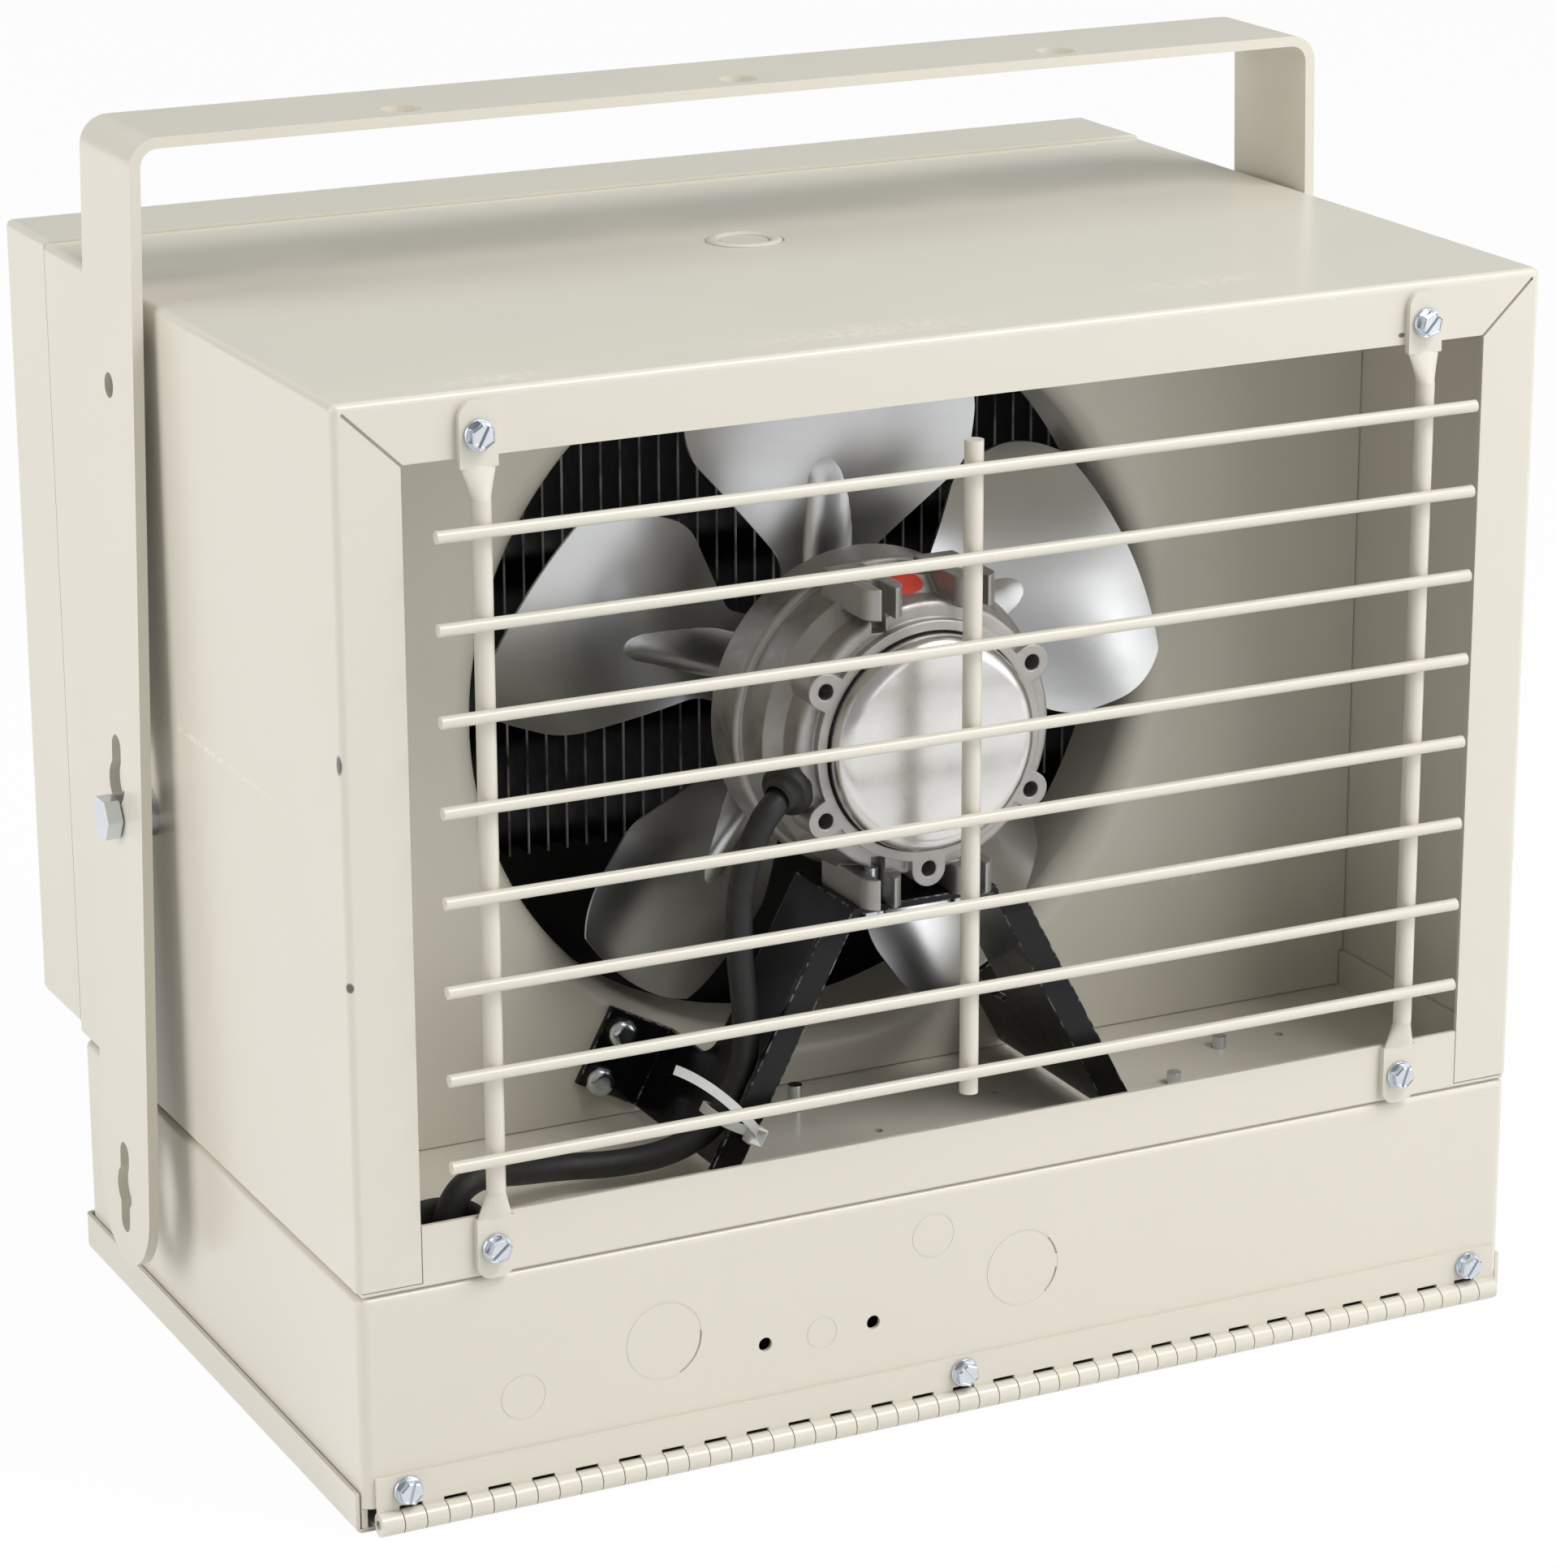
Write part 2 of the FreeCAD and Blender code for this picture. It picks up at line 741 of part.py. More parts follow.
def control_box():
    foot = box_bottom - overrun
    outer = box_block(half_width, (rear_y, box_front), (box_bottom, box_top), box_corner_radius)
    outer = outer.makeFillet(fold_radius, edges_on(outer, z=box_top))
    inner_y = (rear_y + sheet, box_front - sheet)
    inner = box_block(half_width - sheet, inner_y, (foot, box_top - sheet), inner_corner)
    mouth_y = (rear_y + box_lip, box_front - box_lip)
    mouth = block(both(half_width - box_lip), mouth_y, (foot, box_top + overrun))
    hinge_room_y = (hinge_y - overrun, hinge_y + knuckle_radius + fit_gap)
    hinge_room = block(both(half_width + overrun), hinge_room_y, (foot, leaf_foot))
    cuts = [inner, mouth, hinge_room]
    for shares, radius in (
        (knockout_place_shares, knockout_radius),
        (small_knockout_place_shares, small_knockout_radius),
        (pilot_knockout_place_shares, pilot_knockout_radius),
    ):
        cuts += [score(place, radius, y_axis) for place in panel_places(shares)]
    for place in panel_places(panel_hole_place_shares):
        cuts.append(rod(panel_hole_radius, place - y_axis * overrun, place + y_axis * overrun))
    cuts += [screw_hole(seat, y_axis) for seat in hinge_screw_seats()]
    return outer.cut(cuts)


def access_door():
    pan = block(both(door_half_width), (door_rear, door_front), (0, door_lip))
    folds = edges_on(pan, y=door_front, z=0)
    for side in (-door_half_width, door_half_width):
        folds += edges_on(pan, x=side, z=0) + edges_on(pan, x=side, y=door_front)
    pan = pan.makeFillet(fold_radius, folds)
    hollow_y = (door_rear - overrun, door_front - sheet)
    return pan.cut(block(both(door_half_width - sheet), hollow_y, (sheet, door_lip + overrun)))


def knuckle_spans(first):
    """The x spans of every second knuckle along the hinge."""
    count = int(leaf_length / knuckle_length)
    start = -count * knuckle_length / 2
    spans = []
    for i in range(first, count, 2):
        low = start + i * knuckle_length
        spans.append((low + knuckle_gap / 2, low + knuckle_length - knuckle_gap / 2))
    return spans


def hinge_leaf(plate, finger_y, finger_z, first):
    shapes = [plate]
    for span in knuckle_spans(first):
        shapes.append(rod(knuckle_radius, vec(span[0], hinge_y, hinge_z), vec(span[1], hinge_y, hinge_z)))
        shapes.append(block(span, finger_y, finger_z))
    reach = leaf_length / 2 + overrun
    bore = rod(pin_radius + pin_gap, vec(-reach, hinge_y, hinge_z), vec(reach, hinge_y, hinge_z))
    return fuse(shapes).cut(bore)


def hinge_fixed_leaf():
    y_span = (rear_y - leaf_sheet, rear_y)
    plate = block(both(leaf_length / 2), y_span, (leaf_foot, leaf_rise))
    leaf = hinge_leaf(plate, y_span, (hinge_z, leaf_foot), 0)
    return leaf.cut([screw_hole(seat, y_axis) for seat in hinge_screw_seats()])


def hinge_door_leaf():
    rear = hinge_y + knuckle_radius + fit_gap
    z_span = (sheet, sheet + leaf_sheet)
    plate = block(both(leaf_length / 2), (rear, rear + door_leaf_depth), z_span)
    return hinge_leaf(plate, (hinge_y, rear), z_span, 1)


def hinge_pin():
    half = leaf_length / 2
    return rod(pin_radius, vec(-half, hinge_y, hinge_z), vec(half, hinge_y, hinge_z))


def guard_post():
    """The right-hand upright rod with its flattened, screwed-down ends."""
    paddle_y = (rear_y - paddle_thickness, rear_y)
    shapes = []
    ends = []
    for level, outward in zip(guard_screw_levels, (1, -1)):
        tip = level + outward * paddle_length / 2
        root = level - outward * paddle_length / 2
        paddle = block(about(guard_post_x, paddle_width), paddle_y, (min(tip, root), max(tip, root)))
        corners = []
        for side in about(guard_post_x, paddle_width):
            corners += edges_on(paddle, x=side, z=tip)
        shapes.append(paddle.makeFillet(paddle_corner_radius, corners))
        start = vec(guard_post_x, sum(paddle_y) / 2, root + outward * paddle_overlap)
        end = vec(guard_post_x, guard_post_y, root - outward * paddle_neck)
        flat = Part.Ellipse(start, paddle_width / 2 - neck_inset, paddle_thickness / 2 - neck_inset)
        full = Part.Circle(end, z_axis, guard_post_radius - neck_inset)
        shapes.append(Part.makeLoft([Part.Wire([flat.toShape()]), Part.Wire([full.toShape()])], True, True))
        ends.append(end.z + outward * neck_inset)
    low, high = sorted(ends)
    foot = vec(guard_post_x, guard_post_y, low)
    shapes.append(rod(guard_post_radius, foot, foot + z_axis * (high - low)))
    return fuse(shapes)


def guard_rod_levels():
    count = int((opening_top - floor_bottom - rail_height) / guard_rod_pitch)
    first = compartment_mid - guard_rod_pitch * (count - 1) / 2
    return [first + guard_rod_pitch * i for i in range(count)]


def intake_guard():
    half = opening_half_width - guard_rod_margin
    levels = guard_rod_levels()
    shapes = [guard_post(), mirrored(guard_post())]
    low = levels[0] - centre_post_overhang
    high = levels[-1] + centre_post_overhang
    shapes.append(rod(guard_post_radius, vec(0, guard_post_y, low), vec(0, guard_post_y, high)))
    for level in levels:
        shapes.append(rod(guard_rod_radius, vec(-half, guard_rod_y, level), vec(half, guard_rod_y, level)))
    return fuse(shapes).cut([screw_hole(seat, y_axis) for seat in guard_screw_seats()])


def arm_outer_x(z):
    return yoke_top_half + yoke_splay * (strap_top - z) / (strap_top - yoke_arm_foot)


def keyhole(top_z):
    """A double-ended keyhole through both arms: a slot with a wider eye in its middle."""
    reach = yoke_foot_half + overrun
    ends = [top_z - keyhole_slot_radius, top_z - keyhole_length + keyhole_slot_radius]
    cuts = []
    for z in ends:
        cuts.append(rod(keyhole_slot_radius, vec(-reach, yoke_shift, z), vec(reach, yoke_shift, z)))
    cuts.append(block(both(reach), about(yoke_shift, 2 * keyhole_slot_radius), (ends[1], ends[0])))
    middle = sum(ends) / 2
    cuts.append(rod(keyhole_eye_radius, vec(-reach, yoke_shift, middle), vec(reach, yoke_shift, middle)))
    return fuse(cuts)


def yoke():
    def profile(top_half, foot_half, top):
        return [
            vec(-foot_half, yoke_rear, yoke_arm_foot), vec(-top_half, yoke_rear, top),
            vec(top_half, yoke_rear, top), vec(foot_half, yoke_rear, yoke_arm_foot),
        ]

    def bent(points, radius, along):
        solid = prism(points, along)
        bends = [edge for edge in solid.Edges if edge.CenterOfMass.z > case_height
                 and abs(edge.CenterOfMass.x) > half_width / 2 and edge.BoundBox.YLength > yoke_width / 2]
        return solid.makeFillet(radius, bends)

    outer = bent(profile(yoke_top_half, yoke_foot_half, strap_top), yoke_bend_radius, y_axis * yoke_width)
    inner_halves = (yoke_top_half - yoke_thickness, yoke_foot_half - yoke_thickness)
    inner_points = profile(*inner_halves, strap_top - yoke_thickness)
    inner = bent(inner_points, yoke_bend_radius - yoke_thickness, y_axis * yoke_width)
    strap = outer.cut(inner)
    round_z = yoke_arm_foot + yoke_width / 2
    reach = yoke_foot_half + overrun
    foot_block = block(both(reach), (yoke_rear - overrun, yoke_rear + yoke_width + overrun),
                       (yoke_arm_foot - overrun, round_z))
    round_end = rod(yoke_width / 2, vec(-reach, yoke_shift, round_z), vec(reach, yoke_shift, round_z))
    cuts = [foot_block.cut(round_end)]
    for step in (-1, 0, 1):
        place = vec(step * strap_hole_pitch, yoke_rear + strap_hole_inset, strap_top)
        through = z_axis * (yoke_thickness + overrun)
        cuts.append(rod(strap_hole_radius, place - through, place + through))
    hole_z = strap_top - arm_hole_drop
    cuts.append(rod(arm_hole_radius, vec(-reach, yoke_shift, hole_z), vec(reach, yoke_shift, hole_z)))
    cuts.append(keyhole(pivot_height + keyhole_length - keyhole_slot_radius))
    cuts.append(keyhole(yoke_arm_foot + lower_keyhole_lift + keyhole_length))
    return strap.cut(cuts)


def pivot_bolt():
    seat = vec(arm_outer_x(pivot_height) + pivot_face_gap, yoke_shift, pivot_height)
    tip = vec(half_width - sheet - pivot_nut_height, yoke_shift, pivot_height)
    head = hexagon(pivot_head_across, seat, x_axis * pivot_head_height)
    return fuse([head, rod(pivot_bolt_radius, tip, seat)])


def pivot_spacer():
    start = pivot_place(1)
    end = vec(arm_outer_x(pivot_height) - yoke_thickness - pivot_face_gap, yoke_shift, pivot_height)
    return tube(pivot_spacer_radius, pivot_bolt_radius + pivot_hole_gap, start, end)


def pivot_nut():
    start = pivot_place(1) - x_axis * sheet
    nut = hexagon(pivot_nut_across, start, -x_axis * pivot_nut_height)
    through = x_axis * (pivot_nut_height + overrun)
    return nut.cut(rod(pivot_bolt_radius + pivot_hole_gap, start - through, start + through))


def blade_section(radius, chord, camber, pitch):
    """A thin cambered strip across the blade, square to the blade's radial line along +X."""
    sine = math.sin(math.radians(pitch))
    cosine = math.cos(math.radians(pitch))

    def point(across, lift):
        return vec(radius, across * sine - lift * cosine, across * cosine + lift * sine)

    half = blade_thickness / 2
    end = chord / 2
    if camber > 0:
        front = Part.Arc(point(-end, half), point(0, half + camber), point(end, half)).toShape()
        back = Part.Arc(point(end, -half), point(0, camber - half), point(-end, -half)).toShape()
    else:
        front = Part.makeLine(point(-end, half), point(end, half))
        back = Part.makeLine(point(end, -half), point(-end, -half))
    leading = Part.makeLine(point(end, half), point(end, -half))
    trailing = Part.makeLine(point(-end, -half), point(-end, half))
    return Part.Wire([front, leading, back, trailing])


def blade_plan():
    """The rounded paddle outline of one blade, as a tall prism along the fan axis."""
    neck = fan_radius * neck_reach_share
    shoulder = fan_radius * shoulder_reach_share
    tip = fan_radius + tip_gap / 2
    half_outline = [
        (0, blade_neck_half_width, 0), (neck, blade_neck_half_width, blade_neck_corner_share),
        (shoulder, blade_half_width, blade_shoulder_corner_share),
        (tip, blade_half_width, blade_tip_corner_share),
    ]
    base_y = -fan_radius / 2
    points = [vec(x, base_y, z) for x, z, corner_share in half_outline]
    points += [vec(x, base_y, -z) for x, z, corner_share in reversed(half_outline)]
    plan = prism(points, y_axis * fan_radius)
    for x, z, corner_share in half_outline:
        if corner_share > 0:
            corners = edges_on(plan, x=x, z=z) + edges_on(plan, x=x, z=-z)
            plan = plan.makeFillet(fan_radius * corner_share, corners)
    return plan.common(rod(fan_radius, vec(0, base_y, 0), vec(0, base_y + fan_radius, 0)))


def blade_ridge():
    """The tapered stiffening bead along the root of one blade, on its intake side."""
    start = vec(fan_disc_radius * ridge_start_share, -ridge_lift, 0)
    end = vec(fan_radius * ridge_reach_share, -ridge_end_lift, 0)
    bead = Part.makeCone(ridge_radius, ridge_end_radius, (end - start).Length, start, end - start)
    return fuse([bead, Part.makeSphere(ridge_end_radius, end)])


def fan_screw_places():
    places = []
    for i in range(fan_screw_count):
        turn = FreeCAD.Rotation(y_axis, -blade_phase - 360 * i / fan_screw_count)
        places.append(fan_centre + turn.multVec(vec(fan_screw_circle, fan_disc_y, 0)))
    return places


def fan_blades():
    sections = []
    stations = zip(blade_station_shares, blade_chord_shares, blade_camber_shares, blade_pitch_angles)
    for reach, chord_share, camber_share, pitch in stations:
        chord = 2 * blade_half_width * chord_share
        sections.append(blade_section(fan_radius * reach, chord, chord * camber_share, pitch))
    blade = fuse([Part.makeLoft(sections, True, False).common(blade_plan()), blade_ridge()])
    half_disc = y_axis * (fan_disc_thickness / 2)
    shapes = [rod(fan_disc_radius, -half_disc, half_disc)]
    for i in range(blade_count):
        copy = blade.copy()
        copy.rotate(vec(0, 0, 0), y_axis, -(blade_phase + 360 * i / blade_count))
        shapes.append(copy)
    fan = fuse(shapes)
    fan.translate(fan_centre + y_axis * fan_disc_y)
    reach = y_axis * overrun
    middle = fan_centre + y_axis * fan_disc_y
    cuts = [rod(shaft_radius + shaft_gap, middle - reach, middle + reach)]
    for place in fan_screw_places():
        cuts.append(rod(fan_screw_radius + screw_hole_gap, place - reach, place + reach))
    return fan.cut(cuts)


def fan_hub():
    front = beside_axis(0, fan_disc_y - fan_disc_thickness / 2)
    flange_back = front - y_axis * hub_flange_thickness
    back = beside_axis(0, motor_back_y + hub_gap)
    hub = fuse([rod(hub_flange_radius, flange_back, front), rod(hub_radius, back, front)])
    cuts = [rod(shaft_radius + shaft_gap, back - y_axis * overrun, front + y_axis * overrun)]
    for place in fan_screw_places():
        reach = y_axis * (overrun + hub_flange_thickness)
        cuts.append(rod(fan_screw_radius + screw_hole_gap, place - reach, place + reach))
    return hub.cut(cuts)


def fan_screw(place):
    seat = place + y_axis * (fan_disc_thickness / 2)
    tip = place - y_axis * (fan_disc_thickness / 2 + hub_flange_thickness)
    head = rod(fan_screw_head_radius, seat, seat + y_axis * fan_screw_head_height)
    return fuse([head, rod(fan_screw_radius, tip, seat)])


def motor_shaft():
    start = beside_axis(0, motor_back_y - shaft_seat)
    return rod(shaft_radius, start, beside_axis(0, fan_disc_y + shaft_nose))


def motor_ear(angle):
    turn = FreeCAD.Rotation(y_axis, -angle)
    centre = fan_centre + turn.multVec(vec(ear_circle, motor_ring_y, 0))
    web_y = (motor_ring_y, motor_ring_y + ear_depth)
    web = block((motor_ring_radius / 2, ear_circle), web_y, both(ear_radius))
    web.Placement = FreeCAD.Placement(fan_centre, turn)
    return fuse([rod(ear_radius, centre, centre + y_axis * ear_depth), web])


def motor_lug(side, up):
    inner = fan_axis_z + up * (lug_reach - lug_thickness)
    outer = fan_axis_z + up * lug_reach
    nose = motor_front_y - lug_overhang
    x_span = about(side * lug_spread, lug_width)
    lug = block(x_span, (nose, nose + lug_depth), (min(inner, outer), max(inner, outer)))
    corners = edges_on(lug, x=x_span[0], y=nose) + edges_on(lug, x=x_span[1], y=nose)
    return lug.makeFillet(lug_width * lug_nose_share, corners)


def lead_points():
    """The lead's corners: from the motor down beside the leg, then along the floor and through it."""
    points = [vec(x, rear_y + y, fan_axis_z + z) for x, y, z in lead_motor_route]
    return points + [vec(bushing_x + x, rear_y + y, floor_top + z) for x, y, z in lead_floor_route]


def lead_exit():
    start, after = lead_points()[:2]
    return start, (after - start).normalize()


def motor_housing():
    drum_y = motor_back_y - motor_back_depth
    waist_y = drum_y - motor_drum_depth
    cone_y = waist_y - motor_waist_depth
    front_drum_y = cone_y - motor_cone_depth
    profile = [
        (0, motor_back_y), (motor_back_radius, motor_back_y), (motor_radius, drum_y), (motor_radius, waist_y),
        (motor_waist_radius, waist_y), (motor_waist_radius, cone_y), (motor_front_radius, front_drum_y),
        (motor_front_radius, motor_front_y), (motor_ring_radius, motor_front_y),
        (motor_ring_radius, motor_ring_y), (0, motor_ring_y),
    ]
    body = spun(outline([beside_axis(radius, y) for radius, y in profile]))
    rims = edges_on(body, y=waist_y) + edges_on(body, y=drum_y) + edges_on(body, y=motor_front_y)
    outer = [edge for edge in rims if edge.Curve.Radius > motor_ring_radius + match_gap]
    convex = [edge for edge in outer if abs(edge.Curve.Radius - motor_waist_radius) > match_gap]
    shapes = [body.makeFillet(motor_edge_radius, convex)]
    shapes += [motor_ear(angle) for angle in ear_angles]
    for side in (-1, 1):
        shapes += [motor_lug(side, up) for up in (-1, 1)]
    housing = fuse(shapes)
    cap_floor = cap_front_y + cap_depth
    cuts = [
        rod(cap_radius + cap_gap, beside_axis(0, motor_ring_y - overrun), beside_axis(0, cap_floor)),
        rod(shaft_radius + shaft_gap, beside_axis(0, motor_back_y - shaft_seat - fit_gap),
            beside_axis(0, motor_back_y + overrun)),
    ]
    for angle in ear_angles:
        centre = fan_centre + FreeCAD.Rotation(y_axis, -angle).multVec(vec(ear_circle, motor_ring_y, 0))
        cuts.append(rod(ear_hole_radius, centre - y_axis * overrun, centre + y_axis * ear_depth))
    for side in (-1, 1):
        for up in (-1, 1):
            place = vec(side * lug_spread, lug_hole_y, fan_axis_z + up * lug_reach)
            reach = lug_thickness + overrun
            cuts.append(rod(lug_hole_radius, place - z_axis * reach, place + z_axis * reach))
            slot_y = (motor_front_y - lug_overhang - overrun, lug_hole_y)
            cuts.append(block(about(place.x, 2 * lug_hole_radius), slot_y, about(place.z, 2 * reach)))
    start, along = lead_exit()
    bore_start = start - along * grommet_start
    cuts.append(rod(grommet_radius + grommet_gap, bore_start, start + along * grommet_bore))
    return housing.cut(cuts)


def motor_end_cap():
    front = beside_axis(0, cap_front_y)
    cup = rod(cap_radius, front, front + y_axis * cap_depth)
    cup = cup.makeFillet(cap_edge_radius, edges_on(cup, y=cap_front_y))
    core_front = front + y_axis * cap_wall
    core = rod(cap_radius - cap_wall, core_front, front + y_axis * (cap_depth + overrun))
    core_radius = max(cap_edge_radius - cap_wall, cap_wall / 2)
    core = core.makeFillet(core_radius, edges_on(core, y=cap_front_y + cap_wall))
    return cup.cut(core)


def leg_point(rise, out, y):
    """A point by the left leg: rise up the leg from its foot, out to the left of its outer face."""
    x = -leg_foot_x + rise * lean_sine - out * lean_cosine
    return vec(x, y, leg_foot_z + rise * lean_cosine + out * lean_sine)


def leg_strip(low, high, out_span, y_span):
    corners = [(low, out_span[0]), (high, out_span[0]), (high, out_span[1]), (low, out_span[1])]
    return prism([leg_point(rise, out, y_span[0]) for rise, out in corners], y_axis * (y_span[1] - y_span[0]))


def left_leg():
    web_span = (-bracket_sheet, 0)
    web_y = (saddle_rear, saddle_rear + saddle_depth)
    web = leg_strip(0, leg_length, web_span, web_y)
    foot = leg_strip(0, foot_height, web_span, (saddle_rear, divider_y))
    notch_corner = leg_point(foot_height, 0, web_y[1])
    leg = fuse([web, foot])
    notch = [edge for edge in leg.Edges if edge.BoundBox.YLength < match_gap
             and (edge.CenterOfMass - notch_corner).Length < bracket_sheet]
    leg = leg.makeFillet(foot_notch_radius, notch)
    tab = leg_strip(0, foot_height, (-bracket_sheet, foot_tab_width), (divider_y - bracket_sheet, divider_y))
    lip_span = (-bracket_sheet, leg_lip)
    lip = leg_strip(0, leg_length - leg_lip_inset, lip_span, (saddle_rear, saddle_rear + bracket_sheet))
    return [leg, tab, lip]


def saddle():
    z_span = (saddle_top - bracket_sheet, saddle_top)
    return block(both(saddle_half_width), (saddle_rear, saddle_rear + saddle_depth), z_span)


def motor_bracket():
    left = left_leg()
    bracket = fuse([saddle()] + left + [mirrored(shape) for shape in left])
    under = block(both(half_width), (rear_y, front_y), (leg_foot_z - leg_length, floor_top + fit_gap))
    cuts = [under, tie_slot()]
    for place in foot_tab_screw_places():
        hole = rod(bracket_screw_radius + screw_hole_gap, place - y_axis * overrun, place + y_axis * overrun)
        cuts += [hole, mirrored(hole)]
    for side in (-1, 1):
        place = vec(side * lug_spread, lug_hole_y, saddle_top)
        reach = z_axis * (bracket_sheet + overrun)
        cuts.append(rod(lug_hole_radius, place - reach, place + z_axis * overrun))
    return bracket.cut(cuts)


def pan_head_screw(place):
    """A domed screw on the left foot tab, through the tab and the divider."""
    seat = place - y_axis * bracket_sheet
    head = rod(bracket_screw_head_radius, seat, seat - y_axis * bracket_screw_head_height)
    top = edges_on(head, y=seat.y - bracket_screw_head_height)
    head = head.makeFillet(bracket_screw_head_height * 3 / 4, top)
    return fuse([head, rod(bracket_screw_radius, seat, seat + y_axis * bracket_screw_length)])


def motor_mount_screw(side):
    seat = vec(side * lug_spread, lug_hole_y, saddle_top - bracket_sheet)
    tip = seat + z_axis * (bracket_sheet + lug_thickness + mount_screw_tip)
    head = rod(mount_screw_head_radius, seat - z_axis * mount_screw_head_height, seat)
    return fuse([head, rod(mount_screw_radius, seat, tip)])


def route_path(points):
    """Straight runs joined by tangent arcs, each as large as its two runs allow."""
    edges = []
    radii = []
    reached = points[0]
    for before, corner, after in zip(points, points[1:], points[2:]):
        arriving = (corner - before).normalize()
        leaving = (after - corner).normalize()
        turn = arriving.getAngle(leaving)
        trim = lead_bend_share * min((corner - before).Length, (after - corner).Length)
        radius = trim / math.tan(turn / 2)
        inward = (leaving - arriving).normalize()
        start = corner - arriving * trim
        end = corner + leaving * trim
        middle = corner + inward * (radius / math.cos(turn / 2) - radius)
        edges.append(Part.LineSegment(reached, start).toShape())
        edges.append(Part.Arc(start, middle, end).toShape())
        radii.append(radius)
        reached = end
    edges.append(Part.LineSegment(reached, points[-1]).toShape())
    return Part.Wire(edges), radii


def motor_lead():
    points = lead_points()
    path, radii = route_path(points)
    section = Part.Wire([Part.Circle(points[0], points[1] - points[0], lead_radius).toShape()])
    lead = path.makePipeShell([section], True, False)
    expected = math.pi * lead_radius ** 2 * path.Length
    print("motor_lead length", round(path.Length, 1), "volume over section times length",
          round(lead.Volume / expected, 4))
    print("motor_lead bend radii", [round(radius, 1) for radius in radii])
    return lead


def lead_grommet():
    start, along = lead_exit()
    sunk = motor_front_radius - start.distanceToPoint(beside_axis(0, start.y)) - grommet_start / 2
    inner = start + along * sunk
    return tube(grommet_radius, lead_radius + lead_bore_gap, inner, inner + along * grommet_length)


def floor_bushing():
    floor = vec(bushing_x, bushing_y, floor_top)
    top = floor + z_axis * bushing_rise
    foot = floor - z_axis * bushing_depth
    collar = rod(bushing_radius, foot, top)
    shoulder = rod(bushing_shoulder_radius, floor, floor + z_axis * bushing_shoulder_height)
    bore = rod(bushing_bore_radius, foot - z_axis * overrun, top + z_axis * overrun)
    return fuse([collar, shoulder]).cut(bore)


def tie_ring():
    """The tie's loop round the leg's near edge and the lead."""
    low, high = about(tie_lift, tie_width)
    out = (-bracket_sheet - tie_gap, tie_reach)
    y_span = (saddle_rear - tie_gap, saddle_rear + tie_depth)
    wall_out = (out[0] - tie_thickness, out[1] + tie_thickness)
    wall_y = (y_span[0] - tie_thickness, y_span[1] + tie_thickness)
    inner = leg_strip(low - tie_width, high + tie_width, out, y_span)
    return leg_strip(low, high, wall_out, wall_y).cut(inner)


def tie_slot():
    half = tie_width / 2 + tie_gap
    middle = saddle_rear + tie_depth + tie_thickness / 2
    span = about(middle, tie_thickness + 2 * tie_gap)
    return leg_strip(tie_lift - half, tie_lift + half, (-bracket_sheet - overrun, overrun), span)


def cable_tie():
    near = saddle_rear - tie_gap - tie_thickness / 2
    head = leg_strip(tie_lift - tie_head_height / 2, tie_lift + tie_head_height / 2, both(tie_head_width / 2),
                     (near - tie_head_depth, near))
    start = leg_point(tie_lift, 0, near - tie_head_depth / 2)
    tail = block((0, tie_tail_length), both(tie_thickness / 2), both(tie_width / 2))
    tail.Placement = FreeCAD.Placement(start, FreeCAD.Rotation(x_axis, vec(-1, 0, 1)))
    return fuse([tie_ring(), head, tail])


def tube_levels():
    first = fin_mid - tube_pitch * (tube_count - 1) / 2
    return [first + tube_pitch * i for i in range(tube_count)]


def element_fins():
    """Plates slotted from the front over the element tubes, as separate solids."""
    room = 2 * (tube_radius + tube_gap)
    half = fin_thickness / 2
    fin = block(both(half), (fin_rear, fin_rear + fin_depth), (fin_bottom, fin_top))
    slots = []
    for level in tube_levels():
        slot_y = (tube_y - room / 2, fin_rear + fin_depth + overrun)
        slots.append(block(both(half + overrun), slot_y, about(level, room)))
    fin = fin.cut(slots)
    fins = []
    count = int(fin_span / fin_pitch) + 1
    for i in range(count):
        copy = fin.copy()
        copy.translate(vec((i - (count - 1) / 2) * fin_pitch, 0, 0))
        fins.append(copy)
    return Part.makeCompound(fins)


def element_tubes():
    half = end_plate_x + sheet + tube_overhang
    tubes = []
    for level in tube_levels():
        body = rod(tube_radius, vec(-half, tube_y, level), vec(half, tube_y, level))
        pin_half = half + cold_pin_length
        pin = rod(cold_pin_radius, vec(-pin_half, tube_y, level), vec(pin_half, tube_y, level))
        tubes.append(fuse([body, pin]))
    return Part.makeCompound(tubes)


def element_end_plate():
    """The right-hand plate that carries the tubes, with its foot on the floor pan."""
    x_span = (end_plate_x, end_plate_x + sheet)
    y_span = (fin_rear, fin_rear + fin_depth)
    web = block(x_span, y_span, (floor_top, fin_top + end_plate_crown))
    foot = block((end_plate_x, end_plate_x + end_plate_foot), y_span, (floor_top, floor_top + sheet))
    holes = []
    for level in tube_levels():
        start = vec(end_plate_x - overrun, tube_y, level)
        holes.append(rod(tube_radius + tube_gap, start, start + x_axis * (sheet + 2 * overrun)))
    return fuse([web, foot]).cut(holes)


def element_baffle():
    """The sheet below the fins that keeps the air from passing under them, on a foot."""
    near = fin_rear + baffle_inset
    wide = both(end_plate_x - fit_gap)
    web = block(wide, (near, near + sheet), (floor_top, fin_bottom - fit_gap))
    return fuse([web, block(wide, (near, near + baffle_foot), (floor_top, floor_top + sheet))])


